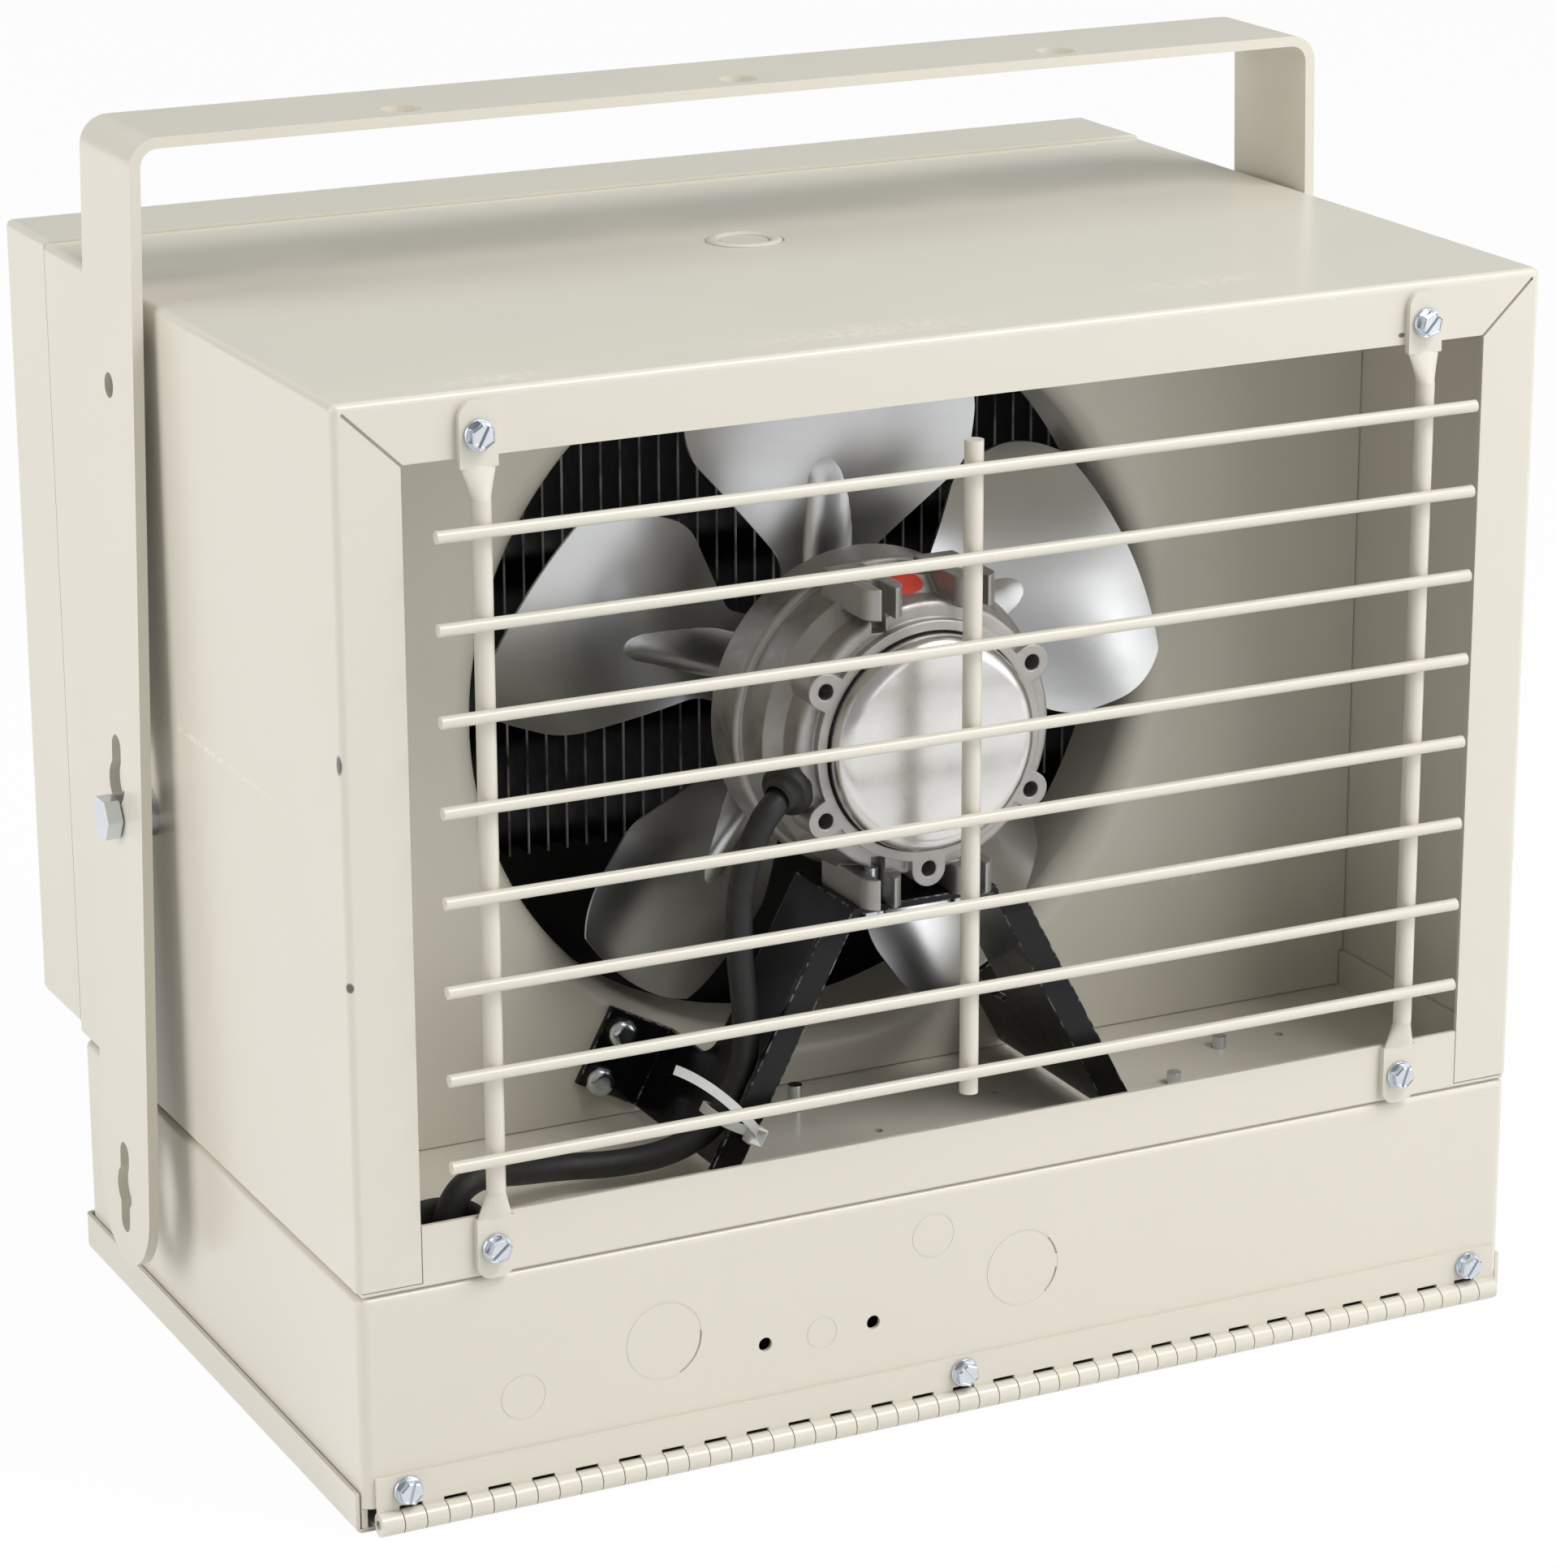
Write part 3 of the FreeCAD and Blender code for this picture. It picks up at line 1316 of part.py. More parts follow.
def limit_switch():
    """The thermal cut-out on the outside of the right-hand end plate."""
    seat = vec(end_plate_x + sheet, tube_y, floor_top + limit_lift)
    flange_top = seat + x_axis * limit_flange_height
    body_top = seat + x_axis * limit_height
    shapes = [rod(limit_flange_radius, seat, flange_top), rod(limit_radius, seat, body_top)]
    tab_x = (body_top.x - limit_flange_height, body_top.x + limit_tab_length)
    for side in (-1, 1):
        tab_y = about(seat.y + side * limit_radius / 2, limit_tab_thickness)
        shapes.append(block(tab_x, tab_y, about(seat.z, limit_tab_width)))
    return fuse(shapes)


def contactor():
    base = block(both(contactor_base_length / 2), both(contactor_base_width / 2), (0, contactor_base_height))
    body_z = (-contactor_body_height, contactor_base_height)
    body = block(both(contactor_body_length / 2), both(contactor_body_width / 2), body_z)
    step_half = contactor_body_width / 2 * contactor_step_share
    step_floor = -contactor_body_height - contactor_step_height
    step = block(both(contactor_body_length / 2), both(step_half), (step_floor, 0))
    whole = fuse([base, body, step])
    reach = z_axis * (contactor_base_height + overrun)
    cuts = []
    for side in (-1, 1):
        place = vec(side * contactor_screw_spread, 0, 0)
        cuts.append(rod(screw_radius + screw_hole_gap, place - z_axis * overrun, place + reach))
    whole = whole.cut(cuts)
    whole.rotate(vec(0, 0, 0), z_axis, contactor_turn)
    whole.translate(vec(contactor_x, contactor_y, contactor_bottom))
    return whole


def contactor_screws():
    length = contactor_base_height + sheet + contactor_screw_tip
    return Part.makeCompound([hex_screw(place, -z_axis, length) for place in contactor_places()])


def block_bay_spans():
    bay = (block_length - block_rib * (block_bay_count + 1)) / block_bay_count
    spans = []
    for i in range(block_bay_count):
        low = block_x - block_length / 2 + block_rib + i * (bay + block_rib)
        spans.append((low, low + bay))
    return spans


def terminal_block():
    """A moulded block with a bay for each terminal, open downwards towards the door."""
    body = block(about(block_x, block_length), about(block_y, block_width), (block_bottom, floor_bottom))
    wide = about(block_y, block_width + overrun)
    bay_z = (block_bottom - overrun, block_bottom + block_bay_depth)
    return body.cut([block(span, wide, bay_z) for span in block_bay_spans()])


def terminal_screws():
    screws = []
    for span in block_bay_spans():
        for side in (-1, 1):
            top = vec(sum(span) / 2, block_y + side * block_width / 4, block_bottom + block_bay_depth)
            screws.append(rod(block_screw_radius, top - z_axis * block_screw_height, top))
    return Part.makeCompound(screws)


def earth_screw():
    return hex_screw(earth_place(), -z_axis)


def pair(shape):
    return Part.makeCompound([shape, mirrored(shape)])


def heater():
    nodes = {
        "wrapper": wrapper(),
        "floor_pan": floor_pan(),
        "divider_panel": divider_panel(),
        "front_frame": front_frame(),
        "louver_rail_right": louver_rail(),
        "louver_rail_left": mirrored(louver_rail()),
        "control_box": control_box(),
        "access_door": access_door(),
        "hinge_fixed_leaf": hinge_fixed_leaf(),
        "hinge_door_leaf": hinge_door_leaf(),
        "hinge_pin": hinge_pin(),
        "hinge_screws": Part.makeCompound([hex_screw(seat, -y_axis) for seat in hinge_screw_seats()]),
        "intake_guard": intake_guard(),
        "guard_screws": Part.makeCompound([hex_screw(seat, -y_axis) for seat in guard_screw_seats()]),
        "yoke": yoke(),
        "pivot_bolts": pair(pivot_bolt()),
        "pivot_spacers": pair(pivot_spacer()),
        "pivot_nuts": pair(pivot_nut()),
        "fan_blades": fan_blades(),
        "fan_hub": fan_hub(),
        "fan_screws": Part.makeCompound([fan_screw(place) for place in fan_screw_places()]),
        "motor_shaft": motor_shaft(),
        "motor_housing": motor_housing(),
        "motor_end_cap": motor_end_cap(),
        "motor_bracket": motor_bracket(),
        "motor_mount_screws": Part.makeCompound([motor_mount_screw(side) for side in (-1, 1)]),
        "motor_lead": motor_lead(),
        "lead_grommet": lead_grommet(),
        "floor_bushing": floor_bushing(),
        "cable_tie": cable_tie(),
        "element_fins": element_fins(),
        "element_tubes": element_tubes(),
        "element_end_plate_right": element_end_plate(),
        "element_end_plate_left": mirrored(element_end_plate()),
        "element_baffle": element_baffle(),
        "limit_switch": limit_switch(),
        "contactor": contactor(),
        "contactor_screws": contactor_screws(),
        "terminal_block": terminal_block(),
        "terminal_screws": terminal_screws(),
        "earth_screw": earth_screw(),
    }
    tab_screws = [pan_head_screw(place) for place in foot_tab_screw_places()]
    nodes["bracket_screws"] = Part.makeCompound(tab_screws + [mirrored(screw) for screw in tab_screws])
    for i, level in enumerate(louver_levels()):
        nodes["louver_" + str(i + 1)] = louver(level)
    return nodes


os.makedirs("parts", exist_ok=True)
for name, shape in heater().items():
    shape.exportStep("parts/" + name + ".step")
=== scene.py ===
import math

import bmesh
import bpy
from mathutils import Matrix, Vector


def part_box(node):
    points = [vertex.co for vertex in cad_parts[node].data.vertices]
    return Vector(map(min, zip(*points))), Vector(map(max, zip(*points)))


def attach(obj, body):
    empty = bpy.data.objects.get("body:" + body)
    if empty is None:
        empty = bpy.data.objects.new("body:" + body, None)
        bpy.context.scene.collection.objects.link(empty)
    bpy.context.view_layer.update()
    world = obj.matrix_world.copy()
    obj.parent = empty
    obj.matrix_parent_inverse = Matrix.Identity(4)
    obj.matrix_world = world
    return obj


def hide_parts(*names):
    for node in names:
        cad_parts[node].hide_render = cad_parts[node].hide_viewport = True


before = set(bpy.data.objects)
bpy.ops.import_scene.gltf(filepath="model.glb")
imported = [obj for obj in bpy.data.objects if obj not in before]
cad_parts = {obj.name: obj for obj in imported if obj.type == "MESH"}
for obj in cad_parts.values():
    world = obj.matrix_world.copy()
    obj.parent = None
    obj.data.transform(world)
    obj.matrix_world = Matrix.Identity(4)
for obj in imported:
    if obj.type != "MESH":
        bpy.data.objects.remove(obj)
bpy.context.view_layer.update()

bl_info = {
    "name": "Utility heater dressing",
    "version": (1, 0, 0),
    "blender": (4, 5, 0),
    "location": "View3D > Sidebar > Heater",
    "description": "Dresses the packed utility heater with finishes, a motor lead, fasteners and a stage",
    "category": "Object",
}

# The lead: how its curve is drawn, and its route from the motor grommet to the terminal block, in metres.
LEAD_ORDER = 3
LEAD_STEPS = 10
LEAD_SIDES = 6
LEAD_ROUTE = (
    (-0.0300, -0.0945, 0.18155), (-0.0460, -0.1033, 0.17665), (-0.0510, -0.1015, 0.16605),
    (-0.0535, -0.0980, 0.15105), (-0.0530, -0.0965, 0.1330), (-0.0505, -0.0955, 0.1150),
    (-0.0505, -0.0950, 0.0990), (-0.0585, -0.0945, 0.0845), (-0.0710, -0.0925, 0.0770),
    (-0.0870, -0.0890, 0.0750), (-0.1030, -0.0885, 0.0770), (-0.1180, -0.0935, 0.0800),
    (-0.1300, -0.0995, 0.0840), (-0.1390, -0.1020, 0.0820), (-0.1430, -0.1020, 0.0730),
    (-0.1430, -0.1010, 0.0630), (-0.1365, -0.0980, 0.0555), (-0.1250, -0.0930, 0.0545),
    (-0.1093, -0.0930, 0.0545),
)

# Sections of the turned rings, as (radius, height) in metres, from the inner foot round to the inner top.
BUSHING_PROFILE = [
    (0.0084, 0.0000), (0.0096, 0.0000), (0.0100, 0.0006), (0.0100, 0.0050), (0.0116, 0.0050),
    (0.0120, 0.0054), (0.0120, 0.0065), (0.0114, 0.0070), (0.0103, 0.0072), (0.0100, 0.0078),
    (0.0100, 0.0110), (0.0105, 0.0122), (0.0105, 0.0127), (0.0100, 0.0130), (0.0093, 0.0127),
    (0.0087, 0.0118), (0.0084, 0.0105),
]
GROMMET_START = 0.0055
GROMMET_PROFILE = [
    (0.00375, 0.0000), (0.0052, 0.0000), (0.0054, 0.0042), (0.0070, 0.0044), (0.0074, 0.0050),
    (0.0074, 0.0072), (0.0070, 0.0080), (0.0056, 0.0084), (0.0051, 0.0090), (0.0048, 0.0104),
    (0.0043, 0.0110), (0.00375, 0.0112),
]

# The slotted hex washer head screws: section of the washer, sizes, seats and turn of each slot.
WASHER_PROFILE = [
    (0.0020, 0.0000), (0.0038, 0.0000), (0.0041, 0.0003), (0.0041, 0.0008), (0.0039, 0.0011),
    (0.0036, 0.0010), (0.0033, 0.0008), (0.0020, 0.0008),
]
HEX_ACROSS = 0.0059
HEX_HEIGHT = 0.0032
HEX_CHAMFER = HEX_ACROSS / 14
HEX_CROWN = HEX_ACROSS / 20
DISH_RIM = HEX_ACROSS / 24
DISH_DEPTH = HEX_ACROSS / 40
SLOT_WIDTH = 0.0008
SLOT_DEPTH = 0.0010
SHANK_RADIUS = 0.0021
SHANK_LENGTH = 0.0090
SHANK_SIDES = 24
SCREW_SMOOTH = math.radians(25.0)
GUARD_SEATS = (
    ((-0.1395, -0.1290, 0.2938), 62.0), ((0.1395, -0.1290, 0.2938), 48.0),
    ((-0.1395, -0.1290, 0.0757), 40.0), ((0.1395, -0.1290, 0.0757), 71.0),
)
HINGE_SEATS = (
    ((-0.165925, -0.1282, 0.0116), 75.0), ((0.0, -0.1282, 0.0116), 128.0),
    ((0.165925, -0.1282, 0.0116), 55.0),
)

# Turned rings: sides, the reach within which points are one, and the edges that are smooth, also on the tie.
RING_SIDES = 48
WELD_REACH = 1e-6
RING_SMOOTH = math.radians(40.0)

# How closely a face's normal follows an axis that the face looks along.
FACING = 0.9

# The cable tie, in its own axes: out from the leg, into the heater, and down the leg, in metres.
TIE_PLACE = (-0.05348, -0.10400, 0.08386)
TIE_OUT = (-0.8829, 0.0, 0.4695)
TIE_DOWN = (-0.4695, 0.0, -0.8829)
TIE_LOOP = (
    (-0.0028, -0.0008, 0.0), (0.0036, -0.0012, 0.0), (0.0095, -0.0006, 0.0),
    (0.0102, 0.0072, 0.0), (0.0096, 0.0150, 0.0), (0.0036, 0.0155, 0.0),
    (-0.0028, 0.0151, 0.0), (-0.0030, 0.0072, 0.0),
)
TIE_TAIL = (
    (0.0000, -0.0030, -0.0010), (0.0030, -0.0066, -0.0022), (0.0100, -0.0090, -0.0050),
    (0.0190, -0.0084, -0.0082), (0.0275, -0.0050, -0.0096), (0.0318, -0.0026, -0.0092),
)
TIE_HEAD_PLACE = (0.0, -0.0030, 0.0)
TIE_HEAD_SIZE = (0.0050, 0.0040, 0.0054)
TIE_HEAD_ROUND = 0.0006
TIE_MOUTH_RIM = 0.0011
TIE_MOUTH_DEPTH = 0.0012
TIE_MOUTH_AREA = 5e-6
BAND_ORDER = 4
BAND_STEPS = 8

# The sleeve that carries the fan's orifice on towards the element: section and start, in metres.
SLEEVE_START = (0.0, -0.0254, 0.18805)
SLEEVE_PROFILE = [(0.1045, 0.0000), (0.1054, 0.0000), (0.1054, 0.0128), (0.1050, 0.0132), (0.1045, 0.0128)]
SLEEVE_SIDES = 128

# The control box's knockouts: x and z, radius, and the arcs in degrees where the slug is cut through. The
# webs lie in their scored rings.
KNOCKOUTS = (
    ((-0.09086, 0.03853), 0.01110, ((-65.0, 5.0),)),
    ((0.01867, 0.03873), 0.01110, ((-50.0, -10.0), (12.0, 42.0))),
    ((-0.13211, 0.03069), 0.00635, ()),
    ((-0.00942, 0.05360), 0.00635, ()),
    ((-0.04356, 0.03142), 0.00450, ()),
)
WEB_WIDTH = 0.00060
WEB_FOOT = -0.12640
WEB_HEIGHT = 0.00050
WEB_SIDES = 96

# The pressed ring of the top's double knockout: section and place, in metres.
CROWN_PLACE = (0.0, 0.0068, 0.3048)
CROWN_SIDES = 64
CROWN_PROFILE = [
    (0.0074, -0.0004), (0.0107, -0.0004), (0.0107, 0.0002), (0.0102, 0.0006), (0.0090, 0.0008),
    (0.0079, 0.0005), (0.0074, 0.0001),
]

# The folded top edge of the element's baffle, in metres.
FOLD_DEPTH = 0.0170
FOLD_THICKNESS = 0.0008

# The inspector's paint dab on the motor casting: place and reach in metres, and colour.
MARK_PLACE = (-0.0010, -0.0915, 0.2275)
MARK_RADII = (0.0068, 0.0034, 0.0060)
MARK_RED = (0.62, 0.035, 0.012)

# The pressed rib at the root of each blade, in metres from the fan's centre along the blade. The rib rises by
# a factor towards its root, and its turns are in degrees.
FAN_CENTRE = (0.0, -0.0400, 0.18805)
BLADE_COUNT = 5
BLADE_PHASE = 16.2
RIB_ROOT = 0.0220
RIB_REACH = 0.0570
RIB_RADII = (0.0170, 0.0075, 0.0105)
RIB_DEPTH = 0.0050
RIB_RISE = 2.5
RIB_LIFT = 0.0033
RIB_SLOPE = 8.0
RIB_PITCH = -15.0
RIB_SEGMENTS = 40
RIB_RINGS = 24
RIB_SMOOTH = math.radians(50.0)

# Rubbed places of the enamel: centre and reach in metres, and depth of tone.
SCUFFS = (
    ((-0.02, -0.112, 0.3048), (0.050, 0.010, 0.004), 0.55),
    ((0.085, -0.100, 0.3048), (0.030, 0.008, 0.004), 0.45),
    ((-0.130, -0.118, 0.3048), (0.022, 0.006, 0.004), 0.60),
    ((-0.1778, -0.020, 0.189), (0.004, 0.075, 0.0012), 0.60),
    ((0.120, -0.041, 0.112), (0.012, 0.004, 0.004), 0.60),
)

# Chips through the enamel: tone, then centre and reach in metres. The bracket's chips show bare steel.
CHIP_TONE = (0.13, 0.12, 0.11)
BARE_EDGE = (0.66, 0.66, 0.64)
CHIPS = (
    ((-0.1778, -0.1250, 0.2120), (0.0016, 0.0016, 0.0030)),
    ((-0.1770, -0.1262, 0.1530), (0.0012, 0.0014, 0.0016)),
    ((-0.1480, -0.1292, 0.0735), (0.0016, 0.0012, 0.0010)),
    ((0.1330, -0.1268, 0.2905), (0.0012, 0.0012, 0.0008)),
)

# The span of a noise's value that its finish uses.
NOISE_LOW = 0.3
NOISE_HIGH = 0.7

# Edges softened in the shading: samples, and the cosine of the normal's turn where the edge's mask starts and
# where it is full.
EDGE_SAMPLES = 4
EDGE_START = 0.98
EDGE_FULL = 0.80

# Sockets of a colour mix: its result and its two colours.
MIX_RESULT = 2
MIX_FIRST = 6
MIX_SECOND = 7

# Softboxes, each named as its power is in the stage's settings: place and size in metres, and colour.
LIGHTS = (
    ("key", (0.80, -1.15, 1.95), (1.2, 0.7), (1.0, 1.0, 1.0)),
    ("side", (-2.0, 0.20, 0.75), (1.4, 1.4), (1.0, 0.975, 0.95)),
    ("fill", (1.35, -1.60, 0.75), (1.9, 1.6), (1.0, 1.0, 1.0)),
    ("head", (0.10, 0.35, 2.10), (1.4, 1.4), (0.86, 1.0, 0.98)),
)
LIGHT_TARGET = (0.0, 0.0, 0.16)

# The floor, the white that the camera sees round the heater, and the camera's sensor and reach.
FLOOR_SIZE = 12.0
FLOOR_TONES = ((0.86, 0.86, 0.86), (0.88, 0.88, 0.88))
BACKDROP_WHITE = 0.96
SENSOR_WIDTH = 36.0
VIEW_END = 50.0

ENAMEL_NODES = ("wrapper", "floor_pan", "divider_panel", "front_frame", "control_box", "access_door")
LOUVER_NODES = (
    "louver_rail_left", "louver_rail_right", "louver_1", "louver_2", "louver_3", "louver_4", "louver_5",
    "louver_6",
)
PLATED_NODES = (
    "pivot_bolts", "pivot_spacers", "pivot_nuts", "bracket_screws", "motor_mount_screws", "fan_screws",
    "contactor_screws", "earth_screw",
)


class HeaterFinish(bpy.types.PropertyGroup):
    """Colours and surface values of the heater's finishes."""
    almond: bpy.props.FloatVectorProperty(
        name="Almond enamel", description="Colour of the casing's baked enamel", subtype="COLOR", size=3,
        min=0.0, max=1.0, default=(0.715, 0.678, 0.590))
    almond_roughness: bpy.props.FloatProperty(
        name="Enamel roughness", description="How soft the enamel's gloss is", subtype="FACTOR",
        min=0.0, max=1.0, default=0.30)
    black: bpy.props.FloatVectorProperty(
        name="Bracket black", description="Colour of the motor bracket's gloss enamel", subtype="COLOR",
        size=3, min=0.0, max=1.0, default=(0.006, 0.006, 0.0065))
    casting: bpy.props.FloatVectorProperty(
        name="Casting grey", description="Colour of the die-cast motor housing", subtype="COLOR", size=3,
        min=0.0, max=1.0, default=(0.45, 0.435, 0.42))
    blade: bpy.props.FloatVectorProperty(
        name="Blade aluminium", description="Colour of the stamped fan blades", subtype="COLOR", size=3,
        min=0.0, max=1.0, default=(0.72, 0.73, 0.74))
    zinc: bpy.props.FloatVectorProperty(
        name="Zinc", description="Colour of the plated fasteners", subtype="COLOR", size=3,
        min=0.0, max=1.0, default=(0.70, 0.74, 0.79))


class HeaterLead(bpy.types.PropertyGroup):
    """Sizes of the motor lead."""
    diameter: bpy.props.FloatProperty(
        name="Lead diameter", description="Outside diameter of the motor lead", unit="LENGTH", default=0.0074)
    length: bpy.props.FloatProperty(
        name="Lead length", description="Length from the grommet to the terminal block", unit="LENGTH",
        default=0.2565)


class HeaterTie(bpy.types.PropertyGroup):
    """Sizes of the cable tie's band."""
    width: bpy.props.FloatProperty(
        name="Band width", description="Width of the tie's band", unit="LENGTH", default=0.0026)
    thickness: bpy.props.FloatProperty(
        name="Band thickness", description="Thickness of the tie's band", unit="LENGTH", default=0.0010)


class HeaterStage(bpy.types.PropertyGroup):
    """Camera and light of the studio."""
    eye: bpy.props.FloatVectorProperty(
        name="Eye", description="Camera position", subtype="TRANSLATION", unit="LENGTH", size=3,
        default=(-0.6152, -1.2593, 0.5946))
    yaw: bpy.props.FloatProperty(
        name="Yaw", description="Camera heading from +Y towards +X", subtype="ANGLE",
        default=math.radians(26.28))
    pitch: bpy.props.FloatProperty(
        name="Pitch", description="Camera tilt below the horizon", subtype="ANGLE",
        default=math.radians(17.76))
    roll: bpy.props.FloatProperty(
        name="Roll", description="Camera roll", subtype="ANGLE", default=math.radians(-0.20))
    lens: bpy.props.FloatProperty(
        name="Lens", description="Focal length on a 36 mm sensor", subtype="DISTANCE_CAMERA", default=116.4)
    key: bpy.props.FloatProperty(
        name="Key light", description="Power of the key softbox", unit="POWER", default=28.0)
    side: bpy.props.FloatProperty(
        name="Side light", description="Power of the left softbox", unit="POWER", default=21.0)
    fill: bpy.props.FloatProperty(
        name="Fill light", description="Power of the fill softbox", unit="POWER", default=15.0)
    head: bpy.props.FloatProperty(
        name="Head light", description="Power of the softbox above", unit="POWER", default=6.6)
    sky: bpy.props.FloatProperty(name="Sky", description="Strength of the room's even light", default=0.32)


class Finish:
    """A node material on Object coordinates, built one link at a time."""

    def __init__(self, name):
        self.material = bpy.data.materials.new(name)
        self.material.use_nodes = True
        self.tree = self.material.node_tree
        self.tree.nodes.clear()
        self.out = self.add("ShaderNodeOutputMaterial")
        self.shader = self.add("ShaderNodeBsdfPrincipled")
        self.link(self.shader, "BSDF", self.out, "Surface")
        self.coords = self.add("ShaderNodeTexCoord")
        self.edge = None

    def add(self, kind, **values):
        node = self.tree.nodes.new(kind)
        for name, value in values.items():
            setattr(node, name, value)
        return node

    def link(self, source, output, target, entry):
        self.tree.links.new(source.outputs[output], target.inputs[entry])

    def set(self, **values):
        for name, value in values.items():
            self.shader.inputs[name.replace("_", " ")].default_value = value

    def noise(self, scale, detail=3.0, rough=0.5, stretch=(1, 1, 1)):
        place = self.add("ShaderNodeMapping")
        place.inputs["Scale"].default_value = stretch
        self.link(self.coords, "Object", place, "Vector")
        node = self.add("ShaderNodeTexNoise")
        node.inputs["Scale"].default_value = scale
        node.inputs["Detail"].default_value = detail
        node.inputs["Roughness"].default_value = rough
        self.link(place, "Vector", node, "Vector")
        return node

    def ramp(self, source, output, low, high, first=0.0, last=1.0):
        node = self.add("ShaderNodeMapRange")
        node.inputs["From Min"].default_value = low
        node.inputs["From Max"].default_value = high
        node.inputs["To Min"].default_value = first
        node.inputs["To Max"].default_value = last
        self.link(source, output, node, "Value")
        return node

    def mix(self, factor, output, first, second):
        """Mixes two colours, each a plain colour or another mix."""
        node = self.add("ShaderNodeMix", data_type="RGBA")
        self.link(factor, output, node, "Factor")
        for entry, value in ((MIX_FIRST, first), (MIX_SECOND, second)):
            if isinstance(value, bpy.types.Node):
                self.link(value, MIX_RESULT, node, entry)
            else:
                node.inputs[entry].default_value = (*value, 1.0)
        return node

    def colour(self, mixed):
        self.link(mixed, MIX_RESULT, self.shader, "Base Color")

    def roughness(self, source, low, high):
        """Lets a noise carry the roughness from low to high."""
        spread = self.ramp(source, "Fac", NOISE_LOW, NOISE_HIGH, low, high)
        self.link(spread, "Result", self.shader, "Roughness")

    def bump(self, source, strength, depth):
        node = self.add("ShaderNodeBump")
        node.inputs["Strength"].default_value = strength
        node.inputs["Distance"].default_value = depth
        self.link(source, "Fac", node, "Height")
        if self.edge:
            self.link(self.edge, "Normal", node, "Normal")
        self.link(node, "Normal", self.shader, "Normal")

    def round_edges(self, radius):
        """Softens sharp edges in the shading and gives a mask that is 1 along them."""
        self.edge = self.add("ShaderNodeBevel", samples=EDGE_SAMPLES)
        self.edge.inputs["Radius"].default_value = radius
        self.link(self.edge, "Normal", self.shader, "Normal")
        true = self.add("ShaderNodeNewGeometry")
        facing = self.add("ShaderNodeVectorMath", operation="DOT_PRODUCT")
        self.link(self.edge, "Normal", facing, 0)
        self.link(true, "Normal", facing, 1)
        return self.ramp(facing, "Value", EDGE_START, EDGE_FULL)

    def spot(self, centre, radii, soft):
        """A mask that is 1 inside an ellipsoid and fades out over its rim."""
        place = self.add("ShaderNodeMapping", vector_type="TEXTURE")
        place.inputs["Location"].default_value = centre
        place.inputs["Scale"].default_value = radii
        self.link(self.coords, "Object", place, "Vector")
        reach = self.add("ShaderNodeVectorMath", operation="LENGTH")
        self.link(place, "Vector", reach, "Vector")
        return self.ramp(reach, "Value", 1.0, 1.0 - soft)

    def axes(self):
        node = self.add("ShaderNodeSeparateXYZ")
        self.link(self.coords, "Object", node, "Vector")
        return node

    def combine(self, operation, first, second):
        """Joins two values, each a number or a node with the name of its output."""
        node = self.add("ShaderNodeMath", operation=operation)
        for entry, value in enumerate((first, second)):
            if isinstance(value, tuple):
                self.link(*value, node, entry)
            else:
                node.inputs[entry].default_value = value
        return node


def shade(colour, factor):
    return tuple(min(1.0, part * factor) for part in colour)


def almond_enamel(settings):
    """Baked enamel, faintly clouded, with rubbed places and chips."""
    finish = Finish("almond_enamel")
    base = tuple(settings.almond)
    cloud = finish.noise(9.0, 4.0, 0.6)
    tone = finish.mix(cloud, "Fac", shade(base, 0.975), shade(base, 1.02))
    for centre, radii, depth in SCUFFS:
        mark = finish.spot(centre, radii, 0.8)
        torn = finish.ramp(finish.noise(380.0, 4.0, 0.7), "Fac", 0.45, 0.62, 0.0, depth)
        worn = finish.combine("MULTIPLY", (mark, "Result"), (torn, "Result"))
        tone = finish.mix(worn, "Value", tone, shade(base, 1.36))
    for centre, radii in CHIPS:
        tone = finish.mix(finish.spot(centre, radii, 0.3), "Result", tone, CHIP_TONE)
    finish.colour(tone)
    gloss = settings.almond_roughness
    finish.roughness(finish.noise(22.0, 3.0), gloss - 0.025, gloss + 0.035)
    finish.bump(finish.noise(420.0, 1.0), 0.05, 0.0002)
    finish.set(Specular_IOR_Level=0.5, Coat_Weight=0.15, Coat_Roughness=0.12)
    return finish.material


def black_enamel(settings):
    finish = Finish("black_enamel")
    base = tuple(settings.black)
    edge = finish.round_edges(0.0008)
    flaw = finish.ramp(finish.noise(260.0, 5.0, 0.7), "Fac", 0.49, 0.57)
    chip = finish.combine("MULTIPLY", (edge, "Result"), (flaw, "Result"))
    finish.colour(finish.mix(chip, "Value", base, BARE_EDGE))
    finish.roughness(finish.noise(160.0, 3.0), 0.14, 0.28)
    finish.bump(finish.noise(700.0, 2.0), 0.06, 0.0003)
    finish.set(Specular_IOR_Level=0.28)
    return finish.material


def cast_metal(settings):
    finish = Finish("die_cast_metal")
    base = tuple(settings.casting)
    edge = finish.round_edges(0.0009)
    stain = finish.noise(60.0, 5.0, 0.65)
    cast = finish.mix(stain, "Fac", shade(base, 0.80), shade(base, 1.15))
    # Painted highlight: the colour is made lighter along the casting's sharp edges.
    painted_edge_highlight = finish.mix(edge, "Result", cast, shade(base, 1.45))
    mark = finish.spot(MARK_PLACE, MARK_RADII, 0.12)
    finish.colour(finish.mix(mark, "Result", painted_edge_highlight, MARK_RED))
    bare = finish.ramp(mark, "Result", 0.0, 1.0, 0.85, 0.0)
    finish.link(bare, "Result", finish.shader, "Metallic")
    finish.roughness(finish.noise(300.0, 4.0), 0.36, 0.55)
    finish.bump(finish.noise(900.0, 4.0, 0.6), 0.22, 0.0003)
    return finish.material


